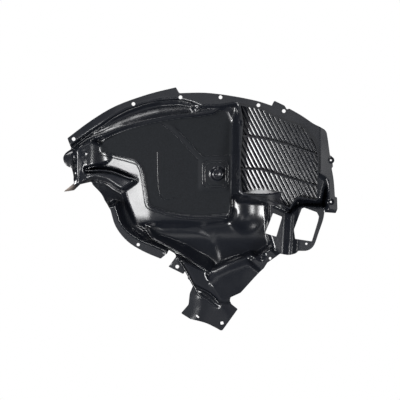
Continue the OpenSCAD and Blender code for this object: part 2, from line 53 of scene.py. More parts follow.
# %% Helpers for nodes and colours
def linear(hex_colour):
    channels = [int(hex_colour[i:i + 2], 16) / 255 for i in (1, 3, 5)]
    return [c / 12.92 if c <= 0.04045 else ((c + 0.055) / 1.055) ** 2.4 for c in channels] + [1.0]


def add_node(tree, kind, inputs=None, **settings):
    """Adds a node. An input is a value, or the output socket that feeds it."""
    node = tree.nodes.new(kind)
    for name, value in settings.items():
        setattr(node, name, value)
    for key, value in (inputs or {}).items():
        if isinstance(value, bpy.types.NodeSocket):
            tree.links.new(value, node.inputs[key])
        else:
            node.inputs[key].default_value = value
    return node


def maths(tree, operation, a, b):
    """Math node on two values or sockets, given as its result socket."""
    return add_node(tree, "ShaderNodeMath", {0: a, 1: b}, operation=operation).outputs[0]


def remap(tree, value, low, high, start=0.0, end=1.0):
    """Map Range node: its result runs from low to high while value runs from start to end."""
    return add_node(tree, "ShaderNodeMapRange", {0: value, 1: start, 2: end, 3: low, 4: high}).outputs[0]


def new_material(name):
    material = bpy.data.materials.new(name)
    material.use_nodes = True
    material.node_tree.nodes.clear()
    return material, material.node_tree


print("mid grey in linear light:", round(linear("#808080")[0], 3))

# %% [markdown]
# ## The camera
# The photograph looks at the liner square on, from far away. A long lens keeps the outline free of
# perspective. One pixel of the 400 pixel picture is 2.4 mm at the flange.

# %% Camera
PIXEL = 2.4 * MM
PICTURE_PIXELS = 400
SENSOR_WIDTH = 36
CENTRE_X = -1.2 * MM
CENTRE_Z = -246.5 * MM
CAMERA_DISTANCE = 8.0
scene = bpy.context.scene
camera_data = bpy.data.cameras.new("camera")
camera_data.sensor_width = SENSOR_WIDTH
camera_data.lens = SENSOR_WIDTH * CAMERA_DISTANCE / (PICTURE_PIXELS * PIXEL)
camera = bpy.data.objects.new("camera", camera_data)
scene.collection.objects.link(camera)
camera.location = (CENTRE_X, -CAMERA_DISTANCE, CENTRE_Z)
camera.rotation_euler = (math.radians(90), 0, 0)
scene.camera = camera
scene.view_settings.view_transform = "Standard"
print("camera lens in mm:", round(camera_data.lens, 1))

# %% [markdown]
# ## Light
# Black glossy plastic shows little colour of its own. What the eye sees is mostly the softboxes mirrored in
# it, so each softbox is placed where one form needs its highlight.

# %% Softboxes
def softbox(name, direction, distance, width, height, strength, aim):
    """Area light that faces aim. strength is its radiance, where 1 is a white card in full light."""
    light = bpy.data.lights.new(name, "AREA")
    light.shape = "RECTANGLE"
    light.size = width
    light.size_y = height
    light.energy = strength * math.pi * width * height
    box = bpy.data.objects.new(name, light)
    scene.collection.objects.link(box)
    box.location = Vector(aim) + Vector(direction).normalized() * distance
    box.rotation_euler = (Vector(aim) - box.location).to_track_quat("-Z", "Y").to_euler()
    box.visible_camera = False


# Bright boxes, each named for the form that mirrors it
softbox("ledge_softbox", (-0.137, -0.915, -0.383), 1.7, 0.36, 0.42, 25.0, aim=(-0.18, 0.04, -0.22))
softbox("slat_softbox", (-0.683, -0.643, -0.348), 1.6, 0.44, 0.46, 46.0, aim=(-0.07, 0.02, -0.10))
softbox("trough_softbox", (-0.344, -0.720, 0.602), 2.0, 0.90, 0.62, 15.0, aim=(-0.20, 0.03, -0.05))
softbox("bowl_softbox", (0.629, -0.699, -0.34), 1.6, 0.36, 0.46, 40.0, aim=(0.11, 0.07, -0.26))
softbox("scoop_softbox", (0.0, -0.305, 0.952), 0.9, 0.28, 0.16, 15.0, aim=(0.15, 0.01, -0.22))
# Dim cards, which only flat faces square to them mirror
softbox("flange_card", (0.0, -1.0, 0.0), 2.4, 0.70, 0.30, 1.35, aim=(0.15, 0.0, 0.0))
softbox("left_card", (0.0, -1.0, 0.0), 2.4, 0.45, 0.32, 0.7, aim=(-0.32, 0.0, -0.08))
softbox("low_card", (0.0, -1.0, 0.0), 2.4, 0.30, 0.25, 1.2, aim=(-0.19, 0.0, -0.30))
softbox("right_card", (0.27, -0.96, 0.0), 2.4, 0.40, 0.60, 2.4, aim=(0.32, 0.0, -0.20))
softbox("window_card", (-0.42, -0.90, 0.0), 2.4, 0.35, 0.40, 0.9, aim=(0.25, 0.03, -0.30))

# %% [markdown]
# ## World and floor
# The picture has a white ground, but a white room would turn black plastic grey. So the world is white for
# the camera alone, and the plastic mirrors a dim one. The floor is made in the same way, and as it is
# staged it doesn't belong to the model.

# %% World and floor
WORLD_LEVEL = 0.07
FLOOR_Z = -1.15
FLOOR_SIZE = 6.0
FLOOR_GREY = 0.25
FLOOR_GLOW = 0.85
world = bpy.data.worlds.new("studio")
scene.world = world
world.use_nodes = True
tree = world.node_tree
tree.nodes.clear()
seen_by_camera = add_node(tree, "ShaderNodeLightPath").outputs["Is Camera Ray"]
level = remap(tree, seen_by_camera, WORLD_LEVEL, 1.0)
back = add_node(tree, "ShaderNodeBackground", {"Color": (1, 1, 1, 1), "Strength": level})
add_node(tree, "ShaderNodeOutputWorld", {"Surface": back.outputs[0]})

floor_material, tree = new_material("studio_floor_paint")
seen_by_camera = add_node(tree, "ShaderNodeLightPath").outputs["Is Camera Ray"]
lit = add_node(tree, "ShaderNodeBsdfDiffuse", {"Color": (FLOOR_GREY, FLOOR_GREY, FLOOR_GREY, 1)})
white = add_node(tree, "ShaderNodeEmission", {"Color": (1, 1, 1, 1), "Strength": 1.0})
glow = maths(tree, "MULTIPLY", seen_by_camera, FLOOR_GLOW)
mix = add_node(tree, "ShaderNodeMixShader", {0: glow, 1: lit.outputs[0], 2: white.outputs[0]})
add_node(tree, "ShaderNodeOutputMaterial", {"Surface": mix.outputs[0]})
floor_mesh = bpy.data.meshes.new("floor")
half = FLOOR_SIZE / 2
floor_mesh.from_pydata([(-half, -half, FLOOR_Z), (half, -half, FLOOR_Z), (half, half, FLOOR_Z),
                        (-half, half, FLOOR_Z)], [], [(0, 1, 2, 3)])
floor_mesh.materials.append(floor_material)
floor = bpy.data.objects.new("floor", floor_mesh)
scene.collection.objects.link(floor)
print("world level:", WORLD_LEVEL, "floor height:", FLOOR_Z)

# %% [markdown]
# ## The plastic
# The liner is injection moulded polypropylene. Where the tool was polished the plastic mirrors the light
# softly, and where it was etched the panel is matte. Each finish has its material, made by one function.
# The vertex attribute "grain" runs from 0 on the polished skin to 1 on the panel, so the change follows the
# panel's edge. A second attribute marks the tip of the left flap, which is painted pale brownish grey. That
# is
# painted light: the tip is the same black plastic, and the colour stands in for the light on its thin edge.

# %% Moulded polypropylene
GRAIN_SIZE = 2.6 * MM        # the real etching is about 0.5 mm, drawn coarser to show in the picture
FLOW_SIZE = 60 * MM
ETCH_DEPTH = 0.25 * MM
NOISE_LOW, NOISE_HIGH = 0.3, 0.7
SPECKLE_DARK, SPECKLE_LIGHT = 0.7, 1.3
ROUGH_LOW, ROUGH_HIGH, ROUGH_ETCHED = 0.17, 0.23, 0.78


def moulded_polypropylene(name, gloss, base="#101217", matte="#121417", painted_tip_light="#7d736c"):
    """Polished skin, etched panel and painted light on the flap's tip in one material. gloss is the strength
    of its mirroring.
    """
    material, tree = new_material(name)
    place = add_node(tree, "ShaderNodeTexCoord").outputs["Object"]
    grain = add_node(tree, "ShaderNodeAttribute", attribute_name="grain").outputs["Fac"]
    tip_light_share = add_node(tree, "ShaderNodeAttribute", attribute_name="painted_tip_light").outputs["Fac"]
    etch = add_node(tree, "ShaderNodeTexNoise", {"Vector": place, "Scale": 1 / GRAIN_SIZE, "Detail": 3.0})
    flow = add_node(tree, "ShaderNodeTexNoise", {"Vector": place, "Scale": 1 / FLOW_SIZE, "Detail": 2.0})
    colour = add_node(tree, "ShaderNodeMix", {0: grain, 6: linear(base), 7: linear(matte)}, data_type="RGBA")
    speckle = remap(tree, etch.outputs["Fac"], SPECKLE_DARK, SPECKLE_LIGHT, NOISE_LOW, NOISE_HIGH)
    shade = remap(tree, grain, 1.0, speckle)
    tinted = add_node(tree, "ShaderNodeVectorMath", {0: colour.outputs[2], "Scale": shade},
                      operation="SCALE").outputs[0]
    # Painted light: the flap's tip is mixed towards a pale brownish grey that stands in for the light on it
    final = add_node(tree, "ShaderNodeMix", {0: tip_light_share, 6: tinted, 7: linear(painted_tip_light)}, data_type="RGBA")
    polished = remap(tree, flow.outputs["Fac"], ROUGH_LOW, ROUGH_HIGH, NOISE_LOW, NOISE_HIGH)
    rough = remap(tree, grain, polished, ROUGH_ETCHED)
    bump = add_node(tree, "ShaderNodeBump", {"Height": etch.outputs["Fac"], "Distance": ETCH_DEPTH,
                                             "Strength": grain})
    shader = add_node(tree, "ShaderNodeBsdfPrincipled", {
        "Base Color": final.outputs[2], "Roughness": rough, "IOR": 1.5,
        "Specular IOR Level": gloss, "Normal": bump.outputs[0]})
    add_node(tree, "ShaderNodeOutputMaterial", {"Surface": shader.outputs[0]})
    return material


liner_plastic = moulded_polypropylene("polished_black_polypropylene", gloss=0.5)
grained_plastic = moulded_polypropylene("grained_black_polypropylene", gloss=0.12)
print("finishes:", liner_plastic.name, grained_plastic.name)

# %% [markdown]
# ## Plan of the moulding
# The liner was shaped between two tool halves that part along Y, so its whole sheet can be given as a
# depth Y over the plan in X and Z. The plan is a set of outlines in millimetres, and each carries one form.

# %% Outlines of the plan, in millimetres
OUTLINE_RUNS = [
    [[-320, -98], [-265, -57], [-204, -21], [-127, 7], [-59, 24]],
    [[-51, 10], [10, 11], [71, 4], [133, -8], [171, -20]],
    [[177, -8]],
    [[202, -20]],
    [[207, -29]],
    [[213, -27], [243, -44], [271, -63], [289, -72], [301, -81], [305, -96], [311, -140]],
    [[316, -141]],
    [[318, -167]],
    [[315, -170], [320, -200], [323, -239]],
    [[328, -240]],
    [[329, -268]],
    [[325, -278]],
    [[298, -276], [295, -294], [284, -326], [273, -356], [258, -368], [236, -369]],
    [[230, -375], [212, -379], [192, -376]],
    [[184, -382], [161, -398]],
    [[153, -411], [137, -426], [97, -470]],
    [[73, -481], [71, -489], [75, -498]],
    [[90, -510]],
    [[53, -562]],
    [[48, -562], [34, -554], [10, -543], [-25, -534]],
    [[-47, -520]],
    [[-29, -499], [-26, -472]],
    [[-18, -453], [-23, -443], [-31, -436]],
    [[-30, -429]],
    [[-34, -419], [-38, -419], [-41, -425]],
    [[-77, -407]],
    [[-59, -383], [-62, -376], [-77, -367]],
    [[-80, -375]],
    [[-96, -388], [-138, -370], [-176, -346], [-204, -311], [-217, -270]],
    [[-232, -248], [-241, -231], [-262, -209]],
    [[-264, -202], [-290, -209]],
    [[-306, -223], [-331, -227]],
    [[-304, -206]],
    [[-310, -170], [-325, -162], [-331, -146], [-325, -133], [-311, -123]],
]
WINDOW_SMALL = [[175, -278], [197, -287], [183, -335], [157, -327]]
WINDOW_LARGE = [[244, -267], [250, -265], [280, -276], [285, -286], [283, -297], [268, -346], [228, -340],
                [225, -318]]
GRILLE_OPENING = [
    [96, -20], [147, -30], [171, -45], [211, -61], [246, -72], [259, -93], [269, -101], [278, -122],
    [281, -140], [280, -242], [276, -246], [236, -238], [228, -241], [220, -253], [214, -265], [156, -242],
    [116, -234], [101, -227], [97, -205], [96, -171], [98, -124], [103, -60], [100, -41]]
BOX_FOOT = [
    [84, -8], [82, -34], [76, -52], [77, -126], [75, -234], [92, -252], [156, -256], [216, -281],
    [240, -258], [300, -262], [315, -200], [304, -96], [270, -60], [170, -20]]
PANEL_EDGE = [
    [-241, -114], [-230, -99], [-204, -87], [-173, -75], [-112, -59], [-52, -49], [-5, -45], [33, -38],
    [44, -30], [53, -29], [64, -35], [76, -63], [75, -245], [69, -280], [18, -285], [-16, -285], [-49, -282],
    [-82, -275], [-120, -262], [-127, -251], [-131, -225], [-137, -186], [-145, -162], [-162, -150],
    [-239, -130]]
RIM_ZONE = [
    [-345, -118], [-311, -121], [-265, -88], [-234, -68], [-204, -48], [-173, -32], [-135, -18],
    [-97, -10], [-51, -8], [-21, -16], [1, -26], [40, -26], [60, -24], [84, -20], [90, -60], [300, -200],
    [300, -275], [345, -285], [345, 0], [180, 30], [-60, 50], [-200, 20], [-345, -80]]
RIDGE_ZONE = [
    [-290, -104], [-265, -94], [-227, -80], [-189, -66], [-143, -54], [-97, -44], [-51, -37],
    [-18, -34], [4, -26], [50, -20], [80, -20], [76, -30], [53, -30], [33, -40], [-5, -45], [-52, -48],
    [-112, -58], [-173, -74], [-204, -86], [-232, -99], [-270, -108]]
TROUGH_ZONE = [
    [-311, -123], [-265, -88], [-234, -68], [-204, -48], [-173, -32], [-135, -18], [-97, -10],
    [-51, -8], [-21, -16], [2, -26], [-6, -32], [-18, -38], [-51, -41], [-97, -48], [-143, -58],
    [-189, -70], [-227, -84], [-265, -97], [-290, -112]]
CREASE_LINE = [[-311, -123], [-265, -88], [-234, -68], [-204, -48], [-173, -32], [-135, -18], [-97, -10],
               [-51, -8], [-21, -16], [2, -26]]
TROUGH_LOW_LINE = [[-290, -114], [-265, -97], [-227, -84], [-189, -70], [-143, -58], [-97, -48], [-51, -41],
                   [-18, -38], [2, -26]]
NOSE_ZONE = [[-345, -140], [-311, -123], [-303, -124], [-304, -180], [-330, -180], [-345, -160]]
LEFT_ZONE = [
    [-306, -123], [-290, -110], [-265, -98], [-241, -108], [-212, -132], [-212, -150], [-236, -163],
    [-275, -172], [-262, -200], [-345, -240], [-345, -215], [-305, -190], [-304, -150]]
SLOT_TOP = [[-277, -173], [-262, -167], [-240, -164], [-213, -167], [-181, -178], [-152, -196]]
SLOT_LOW = [[-277, -175], [-262, -175], [-240, -174], [-211, -178], [-181, -189], [-152, -198]]
FIN_ZONE = [
    [-277, -178], [-245, -176], [-211, -179], [-181, -189], [-150, -198], [-160, -207], [-189, -227],
    [-205, -219], [-228, -203], [-250, -198], [-272, -200]]
CHANNEL_ZONE = [
    [-268, -184], [-250, -184], [-228, -188], [-200, -206], [-184, -222], [-176, -252], [-165, -278],
    [-155, -304], [-136, -318], [-116, -341], [-83, -359], [-70, -366], [-80, -374], [-112, -359],
    [-140, -348], [-158, -337], [-176, -324], [-192, -305], [-199, -286], [-206, -262], [-245, -262],
    [-275, -225], [-280, -200]]
BASIN_ZONE = [
    [-152, -305], [-118, -298], [-60, -298], [0, -300], [60, -292], [70, -282], [70, -230], [190, -230],
    [190, -430], [105, -445], [26, -445], [-5, -430], [-35, -418], [-60, -398], [-95, -378],
    [-130, -350]]
RECESS_ZONE = [
    [-150, -304], [-103, -304], [-80, -307], [-40, -308], [0, -315], [24, -327], [46, -352], [60, -420],
    [-5, -440], [-60, -400], [-100, -370], [-140, -336]]
LOW_FLANGE_ZONE = [
    [-222, -258], [-206, -258], [-199, -284], [-192, -303], [-176, -322], [-158, -335], [-140, -346],
    [-112, -357], [-80, -371], [-70, -400], [-120, -410], [-200, -360], [-240, -290]]
POST_LINE = [[222, -262], [214, -400]]
WINDOW_ZONE = [
    [157, -246], [216, -272], [240, -252], [300, -255], [345, -285], [300, -400], [190, -400],
    [168, -360], [159, -330]]
BULGE_ZONE = [
    [14, -417], [60, -394], [105, -378], [124, -370], [165, -410], [165, -600], [-40, -600],
    [-40, -440], [-10, -425]]
BULGE_EDGE = [[14, -425], [26, -411], [60, -394], [105, -378], [124, -370]]
EAR_ZONE = [[154, -362], [170, -352], [200, -384], [150, -430], [120, -404], [108, -388], [140, -372]]
POCKET_ZONE = [[152, -364], [130, -388], [150, -396], [160, -380]]
FOOT_ZONE = [
    [-90, -362], [-49, -378], [-21, -398], [-5, -407], [14, -419], [22, -450], [46, -488], [62, -492],
    [80, -485], [110, -510], [60, -600], [-90, -600], [-100, -400]]
WEB_ZONE = [
    [-57, -384], [-21, -399], [14, -418], [18, -430], [24, -451], [46, -487], [44, -496], [22, -472],
    [-9, -456], [-18, -451], [-35, -419]]
STEP_ZONE = [[-9, -456], [22, -472], [44, -496], [46, -507], [3, -478]]
FOLD_LINE = [[0, -486], [2, -505], [-6, -528], [-18, -545]]
HEEL_LINE = [[48, -506], [62, -524], [70, -545]]
LIP_LINE = [[-153, -308], [-134, -317], [-115, -340], [-82, -358], [-49, -376], [-21, -396], [-5, -405],
            [16, -418]]
WEB_LINE = [[-57, -384], [-35, -419], [-18, -451], [1, -484]]
STEP_LINE = [[-9, -456], [22, -472], [44, -496]]
FLANGE_LINE = [[-206, -262], [-199, -284], [-192, -303], [-176, -322], [-158, -335], [-140, -346],
               [-112, -357], [-82, -370]]
RIB_LINES = [[[38, -322], [20, -358]], [[44, -336], [40, -364]]]
STRIP = [
    [-93, -61], [-66, -61], [-49, -83], [1, -134], [10, -139], [73, -137], [73, -225], [60, -228],
    [2, -228], [-6, -221], [-7, -150], [-49, -101]]
PAD = [[2, -147], [73, -147], [73, -222], [5, -222], [-2, -216], [-2, -153]]
RIM_HOLES = [[-305, -100], [-161, -16], [-48, 0], [48, 0], [139, -19], [200, -33]]
RIM_HOLE_R = 4.5
SMALL_HOLES = [[-301, -182, 2.2], [-150, -354, 4], [168, -387, 3.2], [255, -352, 2.8], [-56, -407, 4.5]]
FOOT_SLOT = [[-11.6, -526.2], [-5.2, -532.6], [-2.4, -529.8], [-8.8, -523.4]]
FOOT_HOLE = [[49.0, -548.4], [56.4, -547.0], [55.0, -539.6], [47.6, -541.0]]
BOSSES = [[313, -151], [313, -251]]
BOSS_HOLE_R = 2.5
DOME_AT = [41, -183]
DOME_R = 19.0
WALL = 2.8
print("outline points:", sum(len(run) for run in OUTLINE_RUNS))

# %% [markdown]
# ## Distances in the plan
# The distance from a point to an outline, negative inside it, does two jobs. It blends one depth into the
# next over a slope of a chosen width, and it says where the sheet ends.

# %% Distance and blending
def to_segments(points):
    start = np.array(points, float)
    return start, np.roll(start, -1, axis=0)


def segment_distance(px, pz, start, end):
    """Shortest distance from each point to a set of segments."""
    best = np.full(px.shape, np.inf)
    for (ax, az), (bx, bz) in zip(start, end):
        dx, dz = bx - ax, bz - az
        t = np.clip(((px - ax) * dx + (pz - az) * dz) / max(dx * dx + dz * dz, 1e-9), 0, 1)
        best = np.minimum(best, (px - ax - t * dx) ** 2 + (pz - az - t * dz) ** 2)
    return np.sqrt(best)


def edge_distance(px, pz, outline):
    """Distance from a closed outline, negative inside."""
    start, end = to_segments(outline)
    within = np.zeros(px.shape, bool)
    for (ax, az), (bx, bz) in zip(start, end):
        if az != bz:
            crosses = (az > pz) != (bz > pz)
            within ^= crosses & (px < (bx - ax) * (pz - az) / (bz - az) + ax)
    distance = segment_distance(px, pz, start, end)
    return np.where(within, -distance, distance)


def ramp(t):
    """Smooth step, 0 below t = 0 and 1 above t = 1."""
    u = np.clip(t, 0, 1)
    return u * u * (3 - 2 * u)


def blend(a, b, t):
    return a + (b - a) * t


def share(px, pz, zone, slope):
    """1 well inside a zone, falling to 0 at its edge over a slope of that width."""
    return ramp(-edge_distance(px, pz, zone) / slope)


def smooth_run(run, steps):
    """Catmull-Rom curve through the points of one run."""
    count = len(run)
    if count < 3:
        return [list(map(float, p)) for p in run]
    points = np.array(run, float)
    curve = []
    for i in range(count - 1):
        a, b = points[max(0, i - 1)], points[i]
        c, d = points[i + 1], points[min(count - 1, i + 2)]
        for k in range(steps):
            t = k / steps
            curve.append(0.5 * (2 * b + (c - a) * t + (2 * a - 5 * b + 4 * c - d) * t * t
                                + (3 * b - a - 3 * c + d) * t ** 3))
    return [list(p) for p in curve] + [list(points[-1])]


OUTLINE = [p for run in OUTLINE_RUNS for p in smooth_run(run, steps=4)]
print("outline edges:", len(OUTLINE))

# %% [markdown]
# ## Depth of the moulding
# A moulding has two kinds of form. Its bowls and bulges run softly into each other, and its lips and folds
# are crisp. So the depth is a height field that is laid on in two passes, the broad forms first. Depths are
# millimetres behind the top flange. The planes that more than one form uses come first.

# %% Planes that several forms use
PANEL_AT, PANEL_Y = [-80, -54], 20
SLOPE_X, SLOPE_Z = 0.05, 0.20
RIM_BACK, RIM_BACK_FROM, RIM_BACK_RUN = 12, -200, 120
RIGHT_LEAN, RIGHT_FROM = 0.14, 288
FOOT_Y, FOOT_FALL, FOOT_FROM = 18, 0.25, -380
WEB_STEP, WEB_LEAN, WEB_FROM = 12, 0.12, -10
LIP_START_Y = 66
FIN_LEFT_Y, FIN_RIGHT_Y = 10, 16
FIN_FROM, FIN_RUN = -270, 90
FIN_RISE, FIN_TOP = 0.12, -175


def panel_depth(x, z):
    return PANEL_Y + SLOPE_Z * (PANEL_AT[1] - z) + SLOPE_X * (x - PANEL_AT[0])


def rim_depth(x):
    """The top flange turns back at the left, and the right flange leans back."""
    return RIM_BACK * ramp((RIM_BACK_FROM - x) / RIM_BACK_RUN) + RIGHT_LEAN * np.maximum(0, x - RIGHT_FROM)


def foot_plane(z):
    return FOOT_Y + FOOT_FALL * np.maximum(0, FOOT_FROM - z)


def web_depth(x, z):
    return foot_plane(z) - WEB_STEP + WEB_LEAN * (x - WEB_FROM)


def lip_top(x):
    """The lip round the basin comes forward evenly from its left end to its right end."""
    left, right = LIP_LINE[0], LIP_LINE[-1]
    along = np.clip((x - left[0]) / (right[0] - left[0]), 0, 1)
    return blend(LIP_START_Y, foot_plane(right[1]) - WEB_STEP, along)


def fin_depth(x, z):
    return blend(FIN_LEFT_Y, FIN_RIGHT_Y, ramp((x - FIN_FROM) / FIN_RUN)) + FIN_RISE * (FIN_TOP - z)


def line_distance(x, z, line):
    return segment_distance(x, z, line[:-1], line[1:])


def soft_ridge(x, z, line, height, width):
    """A low rounded ridge along a line."""
    return height * np.exp(-(line_distance(x, z, line) / width) ** 2)


print("panel depth in mm at the dome:", round(panel_depth(*DOME_AT), 1))

# %% [markdown]
# ## Broad forms
# The ledge, the panel and the basin are one soft landscape on the real liner. They could be sculpted, but
# planes and parabolas are easier to steer: the slope at a place decides which softbox it mirrors, so each
# form is given the slope that brings its highlight.

# %% Broad forms
LEDGE_STEP, LEDGE_FALL = 5, 0.12
LEDGE_FROM, LEDGE_EASE = -116, 14
LEDGE_ROLL_FROM, LEDGE_ROLL_R = -280, 210
BASIN_DROP, BASIN_FROM, BASIN_R = 8, -300, 122
BOWL_AT, BOWL_D = [110, -272], 17
BOWL_R, BOWL_END = 50, 52


def ledge_depth(x, z):
    """The ledge beside the panel leans away to the left, and rolls over at its lower end."""
    run = np.clip(LEDGE_FROM - x, 0, None)
    lean = LEDGE_FALL * np.where(run < LEDGE_EASE, run * run / (2 * LEDGE_EASE), run - LEDGE_EASE / 2)
    roll = np.maximum(0, LEDGE_ROLL_FROM - z) ** 2 / (2 * LEDGE_ROLL_R)
    return panel_depth(x, z) - LEDGE_STEP + lean + roll


def basin_depth(x, z):
    """The basin follows the panel's plane and curves back. The bowl is a round hollow in it."""
    s = np.maximum(0, BASIN_FROM - z)
    q = np.hypot((x - BOWL_AT[0]) / BOWL_R, np.maximum(0, BOWL_AT[1] - z) / BOWL_END)
    spoon = SLOPE_Z * s - s * s / (2 * BASIN_R)
    bowl = BOWL_D * np.clip(1 - q * q, 0, 1)
    return panel_depth(x, np.maximum(z, BASIN_FROM)) + BASIN_DROP + spoon + bowl


def broad_depth(x, z):
    y = blend(ledge_depth(x, z), panel_depth(x, z), share(x, z, PANEL_EDGE, slope=4))
    return blend(y, basin_depth(x, z), share(x, z, BASIN_ZONE, slope=11))


print("depth of the bowl in mm:", round(float(basin_depth(*BOWL_AT)), 1))

# %% [markdown]
# ## Relief of the panel and the basin
# The crisp forms follow. Each function takes the depth so far and lays one group of forms over it. The pad,
# the strip and the ribs stand out a little, and the channel takes the place of the ledge in its zone.

# %% Relief of the panel and the basin
BEAD_H, PAD_RATIO = 2.4, 1.6
ARCH_STEP = 2
RIB_H, RIB_W = 0.4, 3.2
CHANNEL_Y, CHANNEL_LEAN, CHANNEL_FROM = 77, 0.2, -270


def panel_relief(y, x, z):
    relief = np.maximum(share(x, z, STRIP, slope=4), PAD_RATIO * share(x, z, PAD, slope=4))
    return y - BEAD_H * relief * share(x, z, PANEL_EDGE, slope=4)


def basin_details(y, x, z):
    y = y + ARCH_STEP * share(x, z, RECESS_ZONE, slope=14)
    for rib in RIB_LINES:
        y = y - soft_ridge(x, z, rib, RIB_H, RIB_W)
    channel = CHANNEL_Y + CHANNEL_LEAN * (z - CHANNEL_FROM)
    return blend(y, channel, share(x, z, CHANNEL_ZONE, slope=8))


print("the strip and the pad stand out by mm:", BEAD_H, round(PAD_RATIO * BEAD_H, 1))

# %% [markdown]
# ## Windows, bulge and ear
# The windows stand in a frame that turns back towards the bowl, with a rounded post between them. The bulge
# under the bowl rolls back at its upper edge. The crumpled ear is drawn as one flat fold with a pocket.

# %% Windows, bulge and ear
WINDOW_Y, WINDOW_LEAN, WINDOW_FROM = 18, 0.22, 300
POST_H, POST_W = 14, 20
BULGE_Y, BULGE_LEAN, BULGE_FROM = 18, 0.15, 439
BULGE_RISE, BULGE_ROLL = 16, 40
EAR_Y, EAR_LEAN, EAR_FROM = 40, 0.08, 160
EAR_POCKET_D = 9


def window_frame(y, x, z):
    """The frame turns back towards the bowl, and a post stands between the windows."""
    post = POST_H * ramp(1 - line_distance(x, z, POST_LINE) / POST_W)
    frame_y = WINDOW_Y + WINDOW_LEAN * (WINDOW_FROM - x) - post
    y = blend(y, frame_y, share(x, z, WINDOW_ZONE, slope=8))
    roll = np.maximum(0, 1 - line_distance(x, z, BULGE_EDGE) / BULGE_ROLL)
    bulge = BULGE_Y + BULGE_LEAN * (x - z - BULGE_FROM) + BULGE_RISE * roll * roll
    y = blend(y, bulge, share(x, z, BULGE_ZONE, slope=5))
    y = blend(y, EAR_Y + EAR_LEAN * (EAR_FROM - x), share(x, z, EAR_ZONE, slope=9))
    return y + EAR_POCKET_D * share(x, z, POCKET_ZONE, slope=9)


print("depths of frame, bulge and ear in mm:", WINDOW_Y, BULGE_Y, EAR_Y)

# %% [markdown]
# ## Foot, lip and lower flange
# The foot is a leaning plane with two soft folds, and the web stands in front of it over a groove. A lip is
# made by taking the nearer of two depths, the sheet's and a steep slope that falls away from the lip's line.

# %% Foot, lip and lower flange
GROOVE_D, GROOVE_FALL, GROOVE_RISE = 8, 5, 0.45
FOOT_RIDGE_H = 1.6
FOOT_RIDGES = [(FOLD_LINE, 9), (HEEL_LINE, 10)]
LIP_SLOPE = 1.9
LOW_FLANGE_Y, FLANGE_EDGE_H = 28, 1.5
FLANGE_BEVEL, FLANGE_FALL = 0.42, 4.0


def foot_bracket(y, x, z):
    """The foot, the web above it, the lip round the basin and the lower left flange."""
    plane = foot_plane(z)
    y = blend(y, plane, share(x, z, FOOT_ZONE, slope=7))
    y = blend(y, web_depth(x, z), share(x, z, WEB_ZONE, slope=3))
    # Below the step line the web ends over a groove, whose lower face comes forward again
    past = line_distance(x, z, STEP_LINE)
    groove = np.minimum(plane - WEB_STEP + GROOVE_FALL * past, plane + GROOVE_D - GROOVE_RISE * past)
    y = blend(y, groove, share(x, z, STEP_ZONE, slope=1.5))
    for line, width in FOOT_RIDGES:
        y = y - soft_ridge(x, z, line, FOOT_RIDGE_H, width)
    y = np.minimum(y, lip_top(x) + LIP_SLOPE * line_distance(x, z, LIP_LINE))
    y = blend(y, LOW_FLANGE_Y, share(x, z, LOW_FLANGE_ZONE, slope=5))
    # The flange's inner edge rises in a bevel, and its far side falls steeply into the channel
    slope = np.where(edge_distance(x, z, LOW_FLANGE_ZONE) < 0, FLANGE_BEVEL, FLANGE_FALL)
    return np.minimum(y, LOW_FLANGE_Y - FLANGE_EDGE_H + slope * line_distance(x, z, FLANGE_LINE))


print("depth at the foot's end in mm:", foot_plane(-560))

# %% [markdown]
# ## Left end
# The left lip is a plane that rolls over at its outer edge, with one thin rib and a small stud on it. The
# pointed fin stands in front of the slot.

# %% Left end
LEFT_AT, LEFT_Y = [-275, -150], 8
LEFT_LEAN, LEFT_RISE = 0.3, 0.12
LEFT_FADE_FROM, LEFT_FADE_RUN = -206, 60
LEFT_ROLL, LEFT_ROLL_FROM, LEFT_ROLL_RUN = 14, -286, 25
LEFT_ROLL_LIMIT = 1.3
LEFT_RIB_X, LEFT_RIB_H, LEFT_RIB_W = -282, 2.0, 5
LEFT_RIB_TOP, LEFT_RIB_LOW, LEFT_RIB_END = -140, -182, 12
STUD_AT, STUD_H, STUD_SPREAD = [-278, -134], 2.5, 14


def left_end(y, x, z):
    """The left lip leans back and rolls over at its edge, and the fin stands in front of the slot."""
    roll = LEFT_ROLL * np.clip((LEFT_ROLL_FROM - x) / LEFT_ROLL_RUN, 0, LEFT_ROLL_LIMIT) ** 2
    rib = LEFT_RIB_H * np.exp(-((x - LEFT_RIB_X) / LEFT_RIB_W) ** 2)
    rib = rib * ramp((LEFT_RIB_TOP - z) / LEFT_RIB_END) * ramp((z - LEFT_RIB_LOW) / LEFT_RIB_END)
    stud = STUD_H * np.exp(-((x - STUD_AT[0]) ** 2 + (z - STUD_AT[1]) ** 2) / STUD_SPREAD)
    fade = share(x, z, LEFT_ZONE, slope=5) * ramp((LEFT_FADE_FROM - x) / LEFT_FADE_RUN)
    plane = LEFT_Y + LEFT_LEAN * (x - LEFT_AT[0]) - LEFT_RISE * (z - LEFT_AT[1])
    y = blend(y, plane + roll - rib - stud, fade)
    return blend(y, fin_depth(x, z), share(x, z, FIN_ZONE, slope=4))


print("depths of left lip and fin in mm:", LEFT_Y, FIN_LEFT_Y)

# %% [markdown]
# ## Upper edge
# The top flange carries the clips, the trough runs under it, and the nose closes the trough at the left. The
# trough is shaped by the share of its own width, so it narrows with the two lines that bound it.

# %% Upper edge
RIDGE_Y, BOX_Y = 10, -3
NOSE_AT, NOSE_Y = [-308, -152], 40
NOSE_R, NOSE_H = 30, 10
TROUGH_D, TROUGH_FULL_W = 8, 15
TROUGH_RATIO, TROUGH_LIP = 0.32, 0.2
TROUGH_END, TROUGH_END_RUN = -4, 20
BEND_LEFT, BEND_MORE = 0.15, 0.35
BEND_FROM, BEND_RUN = -230, 70


def dome_cap(q):
    return np.sqrt(np.clip(1 - q * q, 0, 1))


